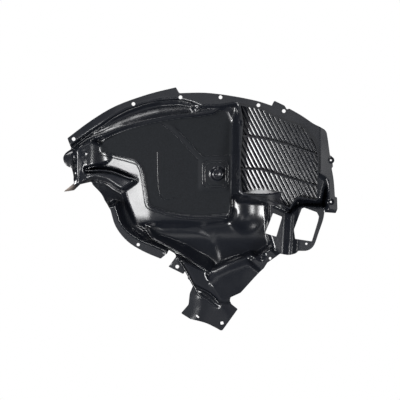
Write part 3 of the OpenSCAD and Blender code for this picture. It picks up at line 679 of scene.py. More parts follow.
def upper_edge(y, x, z):
    """Ridge, grille box, flange and nose, and the trough between the flange and the ridge."""
    y = blend(y, RIDGE_Y, share(x, z, RIDGE_ZONE, slope=6))
    y = blend(y, BOX_Y, share(x, z, BOX_FOOT, slope=17))
    y = blend(y, rim_depth(x), share(x, z, RIM_ZONE, slope=5))
    nose = NOSE_Y - NOSE_H * dome_cap(np.hypot(x - NOSE_AT[0], z - NOSE_AT[1]) / NOSE_R)
    y = blend(y, nose, share(x, z, NOSE_ZONE, slope=3))
    # Across the trough t runs from 0 at the crease to 1 at the ridge. The wall under the crease drops
    # steeply, and from there the floor comes forward as a parabola, straighter at the left end
    above, below = line_distance(x, z, CREASE_LINE), line_distance(x, z, TROUGH_LOW_LINE)
    width = above + below
    t = above / np.maximum(width, 0.1)
    u = (t - TROUGH_LIP) / (1 - TROUGH_LIP)
    bend = BEND_LEFT + BEND_MORE * ramp((x - BEND_FROM) / BEND_RUN)
    wall = np.sin(np.pi / 2 * np.clip(t / TROUGH_LIP, 0, 1))
    drop = np.where(u < 0, wall, 1 - (1 - bend) * u - bend * u * u)
    hollow = TROUGH_RATIO * width + TROUGH_D * ramp(width / TROUGH_FULL_W)
    hollow = hollow * ramp((TROUGH_END - x) / TROUGH_END_RUN)
    trough = blend(rim_depth(x), RIDGE_Y, t) + hollow * drop
    return np.where(edge_distance(x, z, TROUGH_ZONE) < 0, trough, y)


CRISP_FORMS = (panel_relief, basin_details, window_frame, foot_bracket, left_end, upper_edge)
print("groups of crisp forms:", len(CRISP_FORMS))

# %% [markdown]
# ## The height field
# Working out every outline at every place is slow, so it is done once on a grid, and later steps read
# between the grid's points. The broad forms are smoothed round the basin first. The whole field is then
# blurred a little, as no edge of a moulding is quite sharp.

# %% Height field
GRID_STEP = 2.4
FIELD_X = np.arange(-340, 340, GRID_STEP)
FIELD_Z = np.arange(-572, 40, GRID_STEP)
BROAD_SOFTNESS, EDGE_SOFTNESS = 6.0, 2.0
SOFT_ZONE = [
    [-110, -286], [60, -276], [84, -262], [86, -236], [175, -236], [175, -350], [140, -376],
    [140, -420], [100, -476], [60, -480], [36, -450], [26, -418], [-10, -392], [-50, -370], [-100, -330]]


def blurred(field, sigma, step):
    """Gaussian blur along both axes of the grid, sigma in millimetres."""
    reach = math.ceil(3 * sigma / step)
    weight = np.exp(-0.5 * (np.arange(-reach, reach + 1) * step / sigma) ** 2)
    weight /= weight.sum()
    padded = np.pad(field, reach, mode="edge")
    rows = sum(w * padded[:, k:k + field.shape[1]] for k, w in enumerate(weight))
    return sum(w * rows[k:k + field.shape[0]] for k, w in enumerate(weight))


field_x, field_z = np.meshgrid(FIELD_X, FIELD_Z)
broad = broad_depth(field_x, field_z)
soft = blurred(broad, BROAD_SOFTNESS, GRID_STEP)
height_field = blend(broad, soft, share(field_x, field_z, SOFT_ZONE, slope=14))
for lay_on in CRISP_FORMS:
    height_field = lay_on(height_field, field_x, field_z)
height_field = blurred(height_field, EDGE_SOFTNESS, GRID_STEP)


def sample(field, x, z):
    """Value of the field at any place, between the four grid points round it."""
    u = np.clip((x - FIELD_X[0]) / GRID_STEP, 0, len(FIELD_X) - 1.001)
    v = np.clip((z - FIELD_Z[0]) / GRID_STEP, 0, len(FIELD_Z) - 1.001)
    i, j = u.astype(int), v.astype(int)
    a, b = u - i, v - j
    return ((1 - b) * ((1 - a) * field[j, i] + a * field[j, i + 1])
            + b * ((1 - a) * field[j + 1, i] + a * field[j + 1, i + 1]))


def depth(x, z):
    return sample(height_field, x, z)


print("height field:", height_field.shape, "deepest mm:", round(float(height_field.max()), 1))

# %% [markdown]
# ## The sheet
# The plan is laid out on a square grid. Cells inside the outline are kept whole, and cells that the outline
# crosses are cut along it, so the edge is clean. The back is a copy of the front, moved along Y by more
# where the sheet is steep, which keeps the wall's thickness even. A rim closes the two.

# %% Sheet mesh
SLOT = SLOT_TOP + SLOT_LOW[::-1]
GRILLE_LAP, DOME_LAP = 1.3, 2
CUT_MARGIN = 0.02
MOST_STRETCH = 3


def trim_distance(x, z):
    """Negative where the sheet is, positive outside it and in its holes."""
    d = edge_distance(x, z, OUTLINE)
    for hole in (WINDOW_SMALL, WINDOW_LARGE, SLOT, FOOT_SLOT, FOOT_HOLE):
        d = np.maximum(d, -edge_distance(x, z, hole))
    d = np.maximum(d, -(edge_distance(x, z, GRILLE_OPENING) - GRILLE_LAP))
    rounds = [(hx, hz, RIM_HOLE_R) for hx, hz in RIM_HOLES] + [tuple(h) for h in SMALL_HOLES]
    rounds += [(bx, bz, BOSS_HOLE_R) for bx, bz in BOSSES] + [(DOME_AT[0], DOME_AT[1], DOME_R - DOME_LAP)]
    for hx, hz, r in rounds:
        d = np.maximum(d, r - np.hypot(x - hx, z - hz))
    return d


def build_sheet():
    """Cuts the grid to the outline and gives the front, the back, the faces and the plan."""
    gx, gz = field_x, field_z
    trim = trim_distance(gx, gz)
    points, faces, cut_ids = [], [], {}
    ids = -np.ones(gx.shape, int)

    def corner(j, i):
        if ids[j, i] < 0:
            ids[j, i] = len(points)
            points.append((gx[j, i], gz[j, i]))
        return int(ids[j, i])

    def crossing(a, b):
        key = (min(a, b), max(a, b))
        if key not in cut_ids:
            (ja, ia), (jb, ib) = key
            t = trim[ja, ia] / (trim[ja, ia] - trim[jb, ib])
            t = min(max(t, CUT_MARGIN), 1 - CUT_MARGIN)
            cut_ids[key] = len(points)
            points.append((blend(gx[ja, ia], gx[jb, ib], t), blend(gz[ja, ia], gz[jb, ib], t)))
        return cut_ids[key]

    inside = trim < 0
    for j in range(len(FIELD_Z) - 1):
        for i in np.nonzero(inside[j, :-1] | inside[j, 1:] | inside[j + 1, :-1] | inside[j + 1, 1:])[0]:
            ring = [(j, i), (j, i + 1), (j + 1, i + 1), (j + 1, i)]
            face = []
            for k in range(4):
                a, b = ring[k], ring[(k + 1) % 4]
                if inside[a]:
                    face.append(corner(*a))
                if inside[a] != inside[b]:
                    face.append(crossing(a, b))
            if len(face) > 2:
                faces.append(face)
    plan = np.array(points)
    x, z = plan[:, 0], plan[:, 1]
    y = depth(x, z)
    slope_z, slope_x = np.gradient(height_field, GRID_STEP)
    steep = np.sqrt(1 + sample(slope_x, x, z) ** 2 + sample(slope_z, x, z) ** 2)
    thick = WALL * np.minimum(MOST_STRETCH, steep)
    front = np.stack([x, y, z], axis=1)
    behind = np.stack([x, y + thick, z], axis=1)
    return front, behind, faces, x, z


print("grid:", len(FIELD_X), "by", len(FIELD_Z), "points")

# %% [markdown]
# ## The closed sheet
# An edge that only one face of the front uses lies on the rim, so those edges carry the faces that join
# front and back. The panel's faces take the grained finish, and both attributes are laid on the points.

# %% Closed sheet
GRAIN_EDGE, STRIP_POLISH = 2.5, 0.25
# Where the painted light on the flap's tip begins, and the run over which it comes in, in mm
TIP_LIGHT_FROM, TIP_LIGHT_RUN = [-300, -205], [20, 6]
SHEET_CREASE = 55
front, behind, front_faces, plan_x, plan_z = build_sheet()
count = len(front)
edge_use = {}
for face in front_faces:
    for k in range(len(face)):
        edge_use[(face[k], face[(k + 1) % len(face)])] = True
rim_edges = [e for e in edge_use if (e[1], e[0]) not in edge_use]
all_faces = [tuple(f) for f in front_faces]
all_faces += [tuple(v + count for v in reversed(f)) for f in front_faces]
all_faces += [(b, a, a + count, b + count) for a, b in rim_edges]
sheet_mesh = bpy.data.meshes.new("liner_sheet")
sheet_mesh.from_pydata((np.concatenate([front, behind]) * MM).tolist(), [], all_faces)
grain_share = share(plan_x, plan_z, PANEL_EDGE, slope=GRAIN_EDGE)
polish = STRIP_POLISH * share(plan_x, plan_z, STRIP, slope=GRAIN_EDGE)
# Painted light: left of x -300 and below z -205 the flap's tip takes the pale colour that stands in for
# light on it
tip_light_x = np.clip((TIP_LIGHT_FROM[0] - plan_x) / TIP_LIGHT_RUN[0], 0, 1)
tip_light_z = np.clip((TIP_LIGHT_FROM[1] - plan_z) / TIP_LIGHT_RUN[1], 0, 1)
# Both attributes are 0 on the back, which follows the front in the list of points
for name, values in {"grain": grain_share * (1 - polish), "painted_tip_light": tip_light_x * tip_light_z}.items():
    attribute = sheet_mesh.attributes.new(name, "FLOAT", "POINT")
    attribute.data.foreach_set("value", np.concatenate([values, values * 0]).astype(np.float32))
sheet_mesh.shade_smooth()
sheet_mesh.set_sharp_from_angle(angle=math.radians(SHEET_CREASE))
sheet_mesh.materials.append(liner_plastic)
sheet_mesh.materials.append(grained_plastic)
material_index = np.zeros(len(all_faces), np.int32)
material_index[:len(front_faces)] = [np.mean(grain_share[list(face)]) > 0.5 for face in front_faces]
sheet_mesh.polygons.foreach_set("material_index", material_index)
liner_sheet = bpy.data.objects.new("liner_sheet", sheet_mesh)
scene.collection.objects.link(liner_sheet)
pieces = [liner_sheet]
print("sheet faces:", len(all_faces), "rim edges:", len(rim_edges))

# %% [markdown]
# ## Geometry Nodes for the louvres and the beads
# The slats repeat and the beads follow lines, so trees make them. Each tree is built here with named inputs.
# They are set by their identifiers, the result is taken as a plain mesh, and the modifier goes.

# %% Tree helpers
def new_tree(name, inputs):
    tree = bpy.data.node_groups.new(name, "GeometryNodeTree")
    tree.interface.new_socket("Geometry", in_out="INPUT", socket_type="NodeSocketGeometry")
    for label, kind in inputs:
        tree.interface.new_socket(label, in_out="INPUT", socket_type=kind)
    tree.interface.new_socket("Geometry", in_out="OUTPUT", socket_type="NodeSocketGeometry")
    return tree, tree.nodes.new("NodeGroupInput").outputs


def close_tree(tree, geometry, material):
    real = add_node(tree, "GeometryNodeRealizeInstances", {0: geometry})
    painted = add_node(tree, "GeometryNodeSetMaterial", {"Geometry": real.outputs[0], "Material": material})
    add_node(tree, "NodeGroupOutput", {0: painted.outputs[0]})


def object_from(name, points, edges=(), faces=()):
    mesh = bpy.data.meshes.new(name)
    mesh.from_pydata([tuple(c * MM for c in p) for p in points], list(edges), list(faces))
    made = bpy.data.objects.new(name, mesh)
    scene.collection.objects.link(made)
    return made


def grow(base, tree, values):
    """Runs a tree on an object and keeps the result as the object's plain mesh."""
    modifier = base.modifiers.new("grow", "NODES")
    modifier.node_group = tree
    identifiers = {item.name: item.identifier for item in tree.interface.items_tree
                   if item.item_type == "SOCKET" and item.in_out == "INPUT"}
    for label, value in values.items():
        modifier[identifiers[label]] = value
    bpy.context.view_layer.update()
    result = bpy.data.meshes.new_from_object(base.evaluated_get(bpy.context.evaluated_depsgraph_get()))
    base.modifiers.remove(modifier)
    base.data = result
    return base


def smooth(piece, angle=40):
    """Shades a piece smooth and keeps an edge sharp where its faces meet at more than the angle."""
    piece.data.shade_smooth()
    piece.data.set_sharp_from_angle(angle=math.radians(angle))
    return piece


print("pieces before the grille:", len(pieces))

# %% [markdown]
# ## The louvre grille
# Air leaves the arch through a grille of slanted blades in a box. Each blade is turned so that it hides the
# gap behind it. The blades are copies of one swept strip, with a pitch that closes up to the right and a
# turn that grows a little from one to the next. A boolean cuts them to the opening.

# %% Tree of the louvre blades
SLAT_POINTS, SECTION_POINTS = 14, 22


def louvre_tree():
    value = "NodeSocketFloat"
    tree, given = new_tree("louvre_blades", [
        ("Count", "NodeSocketInt"), ("First pitch", value), ("Pitch change", value), ("Width", value),
        ("Thickness", value), ("Length", value), ("Bow", value), ("Camber", value),
        ("Start", "NodeSocketVector"), ("Across", "NodeSocketVector"), ("Turn", "NodeSocketRotation"),
        ("Turn change", value)])
    # Blade number k stands at k times the first pitch, plus k squared times the pitch's change
    number = add_node(tree, "GeometryNodeInputIndex").outputs[0]
    steady = maths(tree, "MULTIPLY", number, given["First pitch"])
    closing = maths(tree, "MULTIPLY", maths(tree, "MULTIPLY", number, number), given["Pitch change"])
    along = maths(tree, "ADD", steady, closing)
    offset = add_node(tree, "ShaderNodeVectorMath", {0: given["Across"], "Scale": along}, operation="SCALE")
    place = add_node(tree, "ShaderNodeVectorMath", {0: given["Start"], 1: offset.outputs[0]},
                     operation="ADD")
    points = add_node(tree, "GeometryNodePoints", {"Count": given["Count"], "Position": place.outputs[0]})
    # One blade is a line along Z, bowed a little along X
    half_up = maths(tree, "MULTIPLY", given["Length"], 0.5)
    half_down = maths(tree, "MULTIPLY", given["Length"], -0.5)
    top = add_node(tree, "ShaderNodeCombineXYZ", {2: half_up}).outputs[0]
    low = add_node(tree, "ShaderNodeCombineXYZ", {2: half_down}).outputs[0]
    line = add_node(tree, "GeometryNodeCurvePrimitiveLine", {"Start": low, "End": top})
    fine = add_node(tree, "GeometryNodeResampleCurve", {"Curve": line.outputs[0], "Count": SLAT_POINTS})
    part = add_node(tree, "GeometryNodeSplineParameter").outputs["Factor"]
    arch = maths(tree, "MULTIPLY", part, maths(tree, "SUBTRACT", 1.0, part))
    sideways = add_node(tree, "ShaderNodeCombineXYZ", {0: maths(tree, "MULTIPLY", arch, given["Bow"])})
    bowed = add_node(tree, "GeometryNodeSetPosition", {"Geometry": fine.outputs[0],
                     "Offset": sideways.outputs[0]})
    upright = add_node(tree, "GeometryNodeSetCurveNormal", {"Curve": bowed.outputs[0], "Normal": (1, 0, 0)},
                       mode="FREE")
    # Its section is a thin rectangle, cambered by the square of the place across it
    section = add_node(tree, "GeometryNodeCurvePrimitiveQuadrilateral",
                       {"Width": given["Width"], "Height": given["Thickness"]})
    dense = add_node(tree, "GeometryNodeResampleCurve",
                     {"Curve": section.outputs[0], "Count": SECTION_POINTS})
    seen = add_node(tree, "GeometryNodeInputPosition").outputs[0]
    flat = add_node(tree, "ShaderNodeVectorMath", {0: seen, 1: (1, 0, 0)},
                    operation="DOT_PRODUCT").outputs[1]
    share_out = maths(tree, "DIVIDE", flat, given["Width"])
    camber = maths(tree, "MULTIPLY", maths(tree, "MULTIPLY", share_out, share_out), given["Camber"])
    lifted = add_node(tree, "ShaderNodeCombineXYZ", {1: camber}).outputs[0]
    curved = add_node(tree, "GeometryNodeSetPosition", {"Geometry": dense.outputs[0], "Offset": lifted})
    blade = add_node(tree, "GeometryNodeCurveToMesh", {"Curve": upright.outputs[0],
                     "Profile Curve": curved.outputs[0], "Fill Caps": True})
    # Each blade is turned a little more than the last one, and the opening's block cuts them all
    extra = maths(tree, "MULTIPLY", number, given["Turn change"])
    twisted = add_node(tree, "FunctionNodeAxisAngleToRotation", {"Axis": (0, 0, 1), "Angle": extra})
    turned_on = add_node(tree, "FunctionNodeRotateRotation", {0: given["Turn"], 1: twisted.outputs[0]},
                         rotation_space="LOCAL")
    blades = add_node(tree, "GeometryNodeInstanceOnPoints", {"Points": points.outputs[0],
                      "Instance": blade.outputs[0], "Rotation": turned_on.outputs[0]})
    real = add_node(tree, "GeometryNodeRealizeInstances", {0: blades.outputs[0]})
    cut = add_node(tree, "GeometryNodeMeshBoolean", operation="INTERSECT", solver="EXACT")
    tree.links.new(given["Geometry"], cut.inputs["Mesh 2"])
    tree.links.new(real.outputs[0], cut.inputs["Mesh 2"])
    close_tree(tree, cut.outputs[0], liner_plastic)
    return tree


blade_tree = louvre_tree()
print("nodes in the louvre tree:", len(blade_tree.nodes))

# %% [markdown]
# ## Blades in the opening
# The tree runs on a block over the grille's opening, which is both its base and the tool that cuts the
# blades. The blades are made longer than the opening, so that none of them ends in mid air.

# %% Louvre blades
SLAT_COUNT = 25
FIRST_PITCH, LAST_PITCH = 9.8, 7.7
SLAT_W, SLAT_T = 10.6, 1.4
SLAT_LEAD, SLAT_SPARE = 4, 30
SLAT_BOW, SLAT_CAMBER = 6, 2.4
SLAT_LEAN, SLAT_TWIST, TWIST_CHANGE = 27, 31, 0.6
SLAT_Y = 11
FRAME_FRONT, FRAME_D, FRAME_T = -4, 26, 2.6
CUT_FRONT, CUT_BACK = FRAME_FRONT + 3, FRAME_FRONT + FRAME_D + 4


def anticlockwise(outline):
    """True where an outline runs anticlockwise, which its area's sign tells."""
    return sum(a[0] * b[1] - b[0] * a[1] for a, b in zip(outline, outline[1:] + outline[:1])) > 0


def offset_outline(outline, distance):
    """The outline moved outwards, each corner along its bisector."""
    points = [Vector((p[0], p[1])) for p in outline]
    side = 1 if anticlockwise(outline) else -1
    moved = []
    for i, p in enumerate(points):
        before = (p - points[i - 1]).normalized()
        after = (points[(i + 1) % len(points)] - p).normalized()
        n1, n2 = Vector((before.y, -before.x)) * side, Vector((after.y, -after.x)) * side
        half_way = (n1 + n2).normalized()
        moved.append(p + half_way * distance / max(0.5, half_way.dot(n1)))
    return [[p.x, p.y] for p in moved]


def prism(name, outline, y0, y1):
    """Closed block over an outline in X and Z."""
    n = len(outline)
    points = [(x, y0, z) for x, z in outline] + [(x, y1, z) for x, z in outline]
    faces = [tuple(range(n)), tuple(range(2 * n - 1, n - 1, -1))]
    faces += [(i, i + n, (i + 1) % n + n, (i + 1) % n) for i in range(n)]
    if not anticlockwise(outline):
        faces = [tuple(reversed(f)) for f in faces]
    return object_from(name, points, faces=faces)


lean, twist = math.radians(SLAT_LEAN), math.radians(SLAT_TWIST)
across = Vector((math.cos(lean), 0, math.sin(lean)))
upward = Vector((-math.sin(lean), 0, math.cos(lean)))
corners = [Vector((x, 0, z)) for x, z in GRILLE_OPENING]
lowest, highest = min(c.dot(upward) for c in corners), max(c.dot(upward) for c in corners)
start = across * (min(c.dot(across) for c in corners) + SLAT_LEAD) + upward * (lowest + highest) / 2
louvre_slats = prism("louvre_slats", offset_outline(GRILLE_OPENING, FRAME_T / 2), CUT_FRONT, CUT_BACK)
turn = (Matrix.Rotation(-lean, 3, "Y") @ Matrix.Rotation(-twist, 3, "Z")).to_euler()
grow(louvre_slats, blade_tree, {
    "Count": SLAT_COUNT, "First pitch": FIRST_PITCH * MM,
    "Pitch change": (LAST_PITCH - FIRST_PITCH) / (2 * (SLAT_COUNT - 1)) * MM,
    "Width": SLAT_W * MM, "Thickness": SLAT_T * MM, "Length": (highest - lowest + SLAT_SPARE) * MM,
    "Bow": SLAT_BOW * MM, "Camber": SLAT_CAMBER * MM,
    "Start": (start.x * MM, SLAT_Y * MM, start.z * MM), "Across": tuple(across),
    "Turn": turn, "Turn change": math.radians(TWIST_CHANGE)})
pieces.append(smooth(louvre_slats))
print("louvre blades:", len(louvre_slats.data.polygons), "faces")

# %% [markdown]
# ## The pocket behind the slot
# The slot at the left opens into a narrow pocket of the moulding, which looks black from the front. A cup
# closes it: its rim follows the sheet along the slot, and its floor slopes back from the upper edge.

# %% Pocket behind the slot
SLOT_FLOOR_TOP, SLOT_FLOOR_LOW = 46, 66
SLOT_RIM_SINK, SLOT_WALL = 1.2, 2.0


def closed(made):
    """Turns all faces of a closed mesh outwards and joins points that coincide."""
    bm = bmesh.new()
    bm.from_mesh(made.data)
    bmesh.ops.remove_doubles(bm, verts=bm.verts, dist=0.01 * MM)
    bmesh.ops.recalc_face_normals(bm, faces=bm.faces)
    bm.to_mesh(made.data)
    bm.free()
    made.data.materials.append(liner_plastic)
    return made


def cup(name, outline, rim, floor, wall):
    """Closed cup. The outline is its inner edge, rim and floor hold the depths at each of its points."""
    n = len(outline)
    outer = offset_outline(outline, wall)
    points = [(x, y, z) for (x, z), y in zip(outline, rim)]
    points += [(x, y, z) for (x, z), y in zip(outline, floor)]
    points += [(x, y + wall, z) for (x, z), y in zip(outer, floor)]
    points += [(x, y, z) for (x, z), y in zip(outer, rim)]
    faces = [tuple(range(n, 2 * n)), tuple(range(2 * n, 3 * n))]
    for a, b in ((0, n), (2 * n, 3 * n), (3 * n, 0)):
        faces += [(a + i, b + i, b + (i + 1) % n, a + (i + 1) % n) for i in range(n)]
    return closed(object_from(name, points, faces=faces))


slot_x, slot_z = np.array(SLOT, float).T
slot_floor = [SLOT_FLOOR_TOP] * len(SLOT_TOP) + [SLOT_FLOOR_LOW] * len(SLOT_LOW)
slot_pocket = cup("slot_pocket", SLOT, depth(slot_x, slot_z) + SLOT_RIM_SINK, slot_floor, SLOT_WALL)
pieces.append(smooth(slot_pocket, angle=30))
print("pocket:", len(slot_pocket.data.polygons), "faces")

# %% [markdown]
# ## The box round the louvres
# The blades end in the walls of a box that runs back from the sheet. It is one closed ring between the
# opening's outline and the same outline moved outwards.

# %% Box wall round the louvres
def ring_wall(name, inner, outer, y0, y1):
    """Closed wall between two outlines with the same number of points."""
    n = len(inner)
    points = [(x, y, z) for ring, y in ((inner, y0), (outer, y0), (outer, y1), (inner, y1)) for x, z in ring]
    faces = []
    for a, b in ((0, n), (n, 2 * n), (2 * n, 3 * n), (3 * n, 0)):
        faces += [(a + i, b + i, b + (i + 1) % n, a + (i + 1) % n) for i in range(n)]
    return closed(object_from(name, points, faces=faces))


louvre_frame = ring_wall("louvre_frame", GRILLE_OPENING, offset_outline(GRILLE_OPENING, FRAME_T),
                         FRAME_FRONT, FRAME_FRONT + FRAME_D)
pieces.append(smooth(louvre_frame, angle=30))
print("box wall:", len(louvre_frame.data.polygons), "faces")

# %% [markdown]
# ## Strips that follow a line
# The cross bars and the panel's beads are one section swept along a line. The tree takes the line as edges.

# %% Swept strips
BAR_W, BAR_D, BAR_LEAD = 3.2, 12, 2
ROUND_SIDES = 8
BARS = [
    [[95, -90], [130, -97], [156, -101], [202, -112], [233, -122], [283, -139]],
    [[95, -172], [122, -173], [148, -175], [187, -186], [233, -200], [283, -214]]]


def strip_tree(rounded):
    """A tree that sweeps a round or a flat section along the edges it is given."""
    tree, given = new_tree("round_strips" if rounded else "flat_strips",
                           [("Width", "NodeSocketFloat"), ("Height", "NodeSocketFloat")])
    curve = add_node(tree, "GeometryNodeMeshToCurve", {0: given["Geometry"]}).outputs[0]
    if rounded:
        section = add_node(tree, "GeometryNodeCurvePrimitiveCircle",
                           {"Resolution": ROUND_SIDES, "Radius": given["Width"]})
        lined = add_node(tree, "GeometryNodeSetCurveNormal", {"Curve": curve}, mode="MINIMUM_TWIST")
    else:
        section = add_node(tree, "GeometryNodeCurvePrimitiveQuadrilateral",
                           {"Width": given["Width"], "Height": given["Height"]})
        lined = add_node(tree, "GeometryNodeSetCurveNormal", {"Curve": curve, "Normal": (0, 1, 0)},
                         mode="FREE")
    swept = add_node(tree, "GeometryNodeCurveToMesh", {"Curve": lined.outputs[0],
                     "Profile Curve": section.outputs[0], "Fill Caps": True})
    close_tree(tree, swept.outputs[0], liner_plastic)
    return tree


def lines_object(name, lines):
    """Loose edges along each line of points."""
    points, edges = [], []
    for line in lines:
        start = len(points)
        points += line
        edges += [(start + i, start + i + 1) for i in range(len(line) - 1)]
    return object_from(name, points, edges=edges)


flat_strips = strip_tree(False)
round_strips = strip_tree(True)
bar_lines = [[(x, SLAT_Y - BAR_LEAD, z) for x, z in smooth_run(bar, steps=4)] for bar in BARS]
louvre_bars = lines_object("louvre_bars", bar_lines)
grow(louvre_bars, flat_strips, {"Width": BAR_D * MM, "Height": BAR_W * MM})
pieces.append(smooth(louvre_bars, angle=30))
print("bars:", len(louvre_bars.data.polygons), "faces")

# %% [markdown]
# ## Fine beads
# A fold of real plastic has a small round edge that catches a line of light. The grid of the sheet is too
# coarse for it, so a thin round strip lies along each edge, at the depth of the form that it belongs to.

# %% Fine beads along the edges
PAD_BOX, PAD_CORNER = (0, 72, -222, -147), 12
BEAD_STEP = 3.0


def along_line(line, depth_of):
    """Points close together on a line of the plan, each at the depth that a function gives."""
    points = np.array(smooth_run(line, steps=4), float)
    along = [points[0]]
    for a, b in zip(points, points[1:]):
        n = max(1, int(np.hypot(*(b - a)) / BEAD_STEP))
        along += [a + (b - a) * k / n for k in range(1, n + 1)]
    along = np.array(along)
    y = np.broadcast_to(depth_of(along[:, 0], along[:, 1]), len(along))
    return [(float(p[0]), float(d), float(p[1])) for p, d in zip(along, y)]


def pad_ring(inset, steps=5):
    """Rounded rectangle inside the pad."""
    x0, x1 = PAD_BOX[0] + inset + PAD_CORNER, PAD_BOX[1] - inset - PAD_CORNER
    z0, z1 = PAD_BOX[2] + inset + PAD_CORNER, PAD_BOX[3] - inset - PAD_CORNER
    ring = []
    for cx, cz, start in ((x1, z1, 0), (x0, z1, 90), (x0, z0, 180), (x1, z0, 270)):
        for k in range(steps + 1):
            a = math.radians(start + 90 * k / steps)
            ring.append([cx + PAD_CORNER * math.cos(a), cz + PAD_CORNER * math.sin(a)])
    return ring + ring[:1]


# Two lines on the ledge follow the panel's left and lower edge at these distances
LEDGE_LINES = [offset_outline(PANEL_EDGE, gap)[:11:-1] for gap in (1.5, 7.5)]
PANEL_LINES = [
    [[-104, -131], [-98, -236], [-59, -241]],
    [[-62, -72], [-49, -84], [0, -136], [10, -141], [73, -137]],
    [[-95, -62], [-49, -102], [-6, -151]],
    pad_ring(5), pad_ring(11)]
FIN_EDGE = [[-277, -176], [-262, -176], [-240, -175], [-211, -179], [-181, -190], [-154, -198]]
ARCH_LINE = [[-103, -303], [-80, -306], [-40, -307], [0, -314], [24, -326]]
# Each row holds a name, lines, a radius in mm, and the depth at which the bead runs
BEADS = [
    ("ledge_beads", LEDGE_LINES, 1.8, lambda x, z: depth(x, z) + 0.3),
    ("panel_lines", PANEL_LINES, 0.8, lambda x, z: depth(x, z) - 0.1),
    ("crease_bead", [CREASE_LINE[:-1]], 1.6, lambda x, z: rim_depth(x) + 1.4),
    ("trough_bead", [TROUGH_LOW_LINE], 2.4, lambda x, z: RIDGE_Y + 1.0),
    ("flange_bead", [FLANGE_LINE], 1.6, lambda x, z: LOW_FLANGE_Y - 2),
    ("lip_bead", [LIP_LINE], 2.2, lambda x, z: lip_top(x) + 0.6),
    ("web_bead", [WEB_LINE], 2.0, web_depth),
    ("step_bead", [STEP_LINE], 2.0, web_depth),
    ("fin_bead", [FIN_EDGE], 1.8, lambda x, z: fin_depth(x, z) + 0.3),
    ("slot_bead", [SLOT_TOP], 1.8, lambda x, z: depth(x, z + 3) + 0.2),
    ("arch_bead", [ARCH_LINE], 0.7, lambda x, z: depth(x, z))]
for name, lines, radius, depth_of in BEADS:
    bead = lines_object(name, [along_line(line, depth_of) for line in lines])
    grow(bead, round_strips, {"Width": radius * MM, "Height": 0.0})
    pieces.append(smooth(bead, angle=80))
print("beads:", len(BEADS))

# %% [markdown]
# ## Turned forms
# The dome and the two screw bosses are round, so each is a profile turned about its own axis. The profile
# runs all the way round the wall's section, which leaves a closed shell.

# %% Dome and bosses
BOSS_Y = 3.5
PANEL_NORMAL = (SLOPE_X, -1, -SLOPE_Z)
# Each profile is a list of radius and height pairs in mm
DOME_PROFILE = [
    (0, 7.6), (2.2, 7.7), (3.2, 8.6), (4.2, 9.2), (10.5, 9.2), (12.2, 8.8), (13.4, 7.8), (16.4, 2.2),
    (17.6, 0.7), (20.5, 0.2), (20.5, -2.2), (16.4, -2.2), (14.6, -0.6), (11.6, 5.0), (10.2, 6.2), (0, 6.2)]
BOSS_PROFILE = [
    (2.5, -3.6), (2.5, 4.6), (3.2, 5.2), (4.4, 5.2), (5.0, 4.0), (6.6, 1.4), (8.4, 0.4), (8.4, -3.6)]


def turned(name, profile, centre, normal, steps):
    """Turns a closed profile of (radius, height) pairs about an axis. Heights run along the normal."""
    up = Vector(normal).normalized()
    side = up.orthogonal().normalized()
    ahead = up.cross(side)
    points, faces = [], []
    n = len(profile)
    for k in range(steps):
        a = 2 * math.pi * k / steps
        ray = side * math.cos(a) + ahead * math.sin(a)
        points += [tuple(Vector(centre) + ray * r + up * h) for r, h in profile]
    for k in range(steps):
        for i in range(n):
            j, m = (i + 1) % n, (k + 1) % steps
            faces.append((k * n + i, k * n + j, m * n + j, m * n + i))
    return closed(object_from(name, points, faces=faces))


dome_y = float(panel_depth(*DOME_AT)) - PAD_RATIO * BEAD_H
panel_dome = turned("panel_dome", DOME_PROFILE, (DOME_AT[0], dome_y, DOME_AT[1]), PANEL_NORMAL, steps=64)
pieces.append(smooth(panel_dome, angle=60))
for name, (bx, bz) in zip(("upper_boss", "lower_boss"), BOSSES):
    boss = turned(name, BOSS_PROFILE, (bx, BOSS_Y, bz), (0, -1, 0), steps=40)
    pieces.append(smooth(boss, angle=35))
print("dome stands at", round(dome_y, 1), "mm, bosses at", BOSS_Y, "mm")

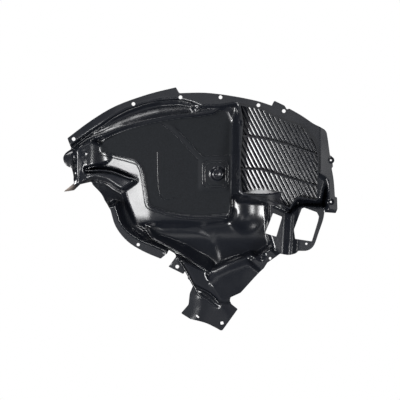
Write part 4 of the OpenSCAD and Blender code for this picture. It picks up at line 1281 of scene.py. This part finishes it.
# %% [markdown]
# ## The scoop
# A small hood closes the lower left corner of the grille. Its upper face is a curved lens that catches the
# light. It is a grid of points: across the lens first, and then down its front to the foot.

# %% Scoop
SCOOP_X0, SCOOP_X1, SCOOP_Z = 99, 193, -226
SCOOP_UP, SCOOP_DOWN, SCOOP_SWELL = 8.5, 7.0, 0.8
SCOOP_BACK, SCOOP_REACH, SCOOP_THIN = 12, 11, 0.25
SCOOP_FOOT, SCOOP_FALL, SCOOP_WALL = -229, 0.36, 2.0


def build_scoop():
    columns, rows = 36, 14
    points, faces = [], []
    for i in range(columns + 1):
        u = i / columns
        x = SCOOP_X0 + (SCOOP_X1 - SCOOP_X0) * u
        arch = math.sin(math.pi * u) ** SCOOP_SWELL
        reach = SCOOP_THIN + (1 - SCOOP_THIN) * arch
        upper = SCOOP_Z + SCOOP_UP * arch
        lower = SCOOP_Z - SCOOP_DOWN * arch
        foot = min(SCOOP_FOOT, SCOOP_FOOT + 1 - SCOOP_FALL * (x - SCOOP_X0)) - 4
        for j in range(rows + 1):
            across_lens, down_front = min(1, 2 * j / rows), max(0, 2 * j / rows - 1)
            z = blend(blend(upper, lower, across_lens), foot, down_front)
            points.append((x, SCOOP_BACK - SCOOP_REACH * across_lens * reach, z))
    for i in range(columns):
        for j in range(rows):
            a = i * (rows + 1) + j
            faces.append((a, a + 1, a + rows + 2, a + rows + 1))
    made = object_from("louvre_scoop", points, faces=faces)
    made.data.materials.append(liner_plastic)
    solid = made.modifiers.new("wall", "SOLIDIFY")
    solid.thickness = SCOOP_WALL * MM
    solid.offset = -1
    made.data = bpy.data.meshes.new_from_object(made.evaluated_get(bpy.context.evaluated_depsgraph_get()))
    made.modifiers.clear()
    return made


louvre_scoop = build_scoop()
pieces.append(smooth(louvre_scoop, angle=50))
print("pieces:", [p.name for p in pieces])

# %% [markdown]
# ## Hand over
# The liner doesn't move, so every piece rides on the root. All of them are of the one plastic, and together
# they stand for the CAD model's single node.

# %% Finish
for piece in pieces:
    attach(piece, "root")
    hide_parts("arch_liner")
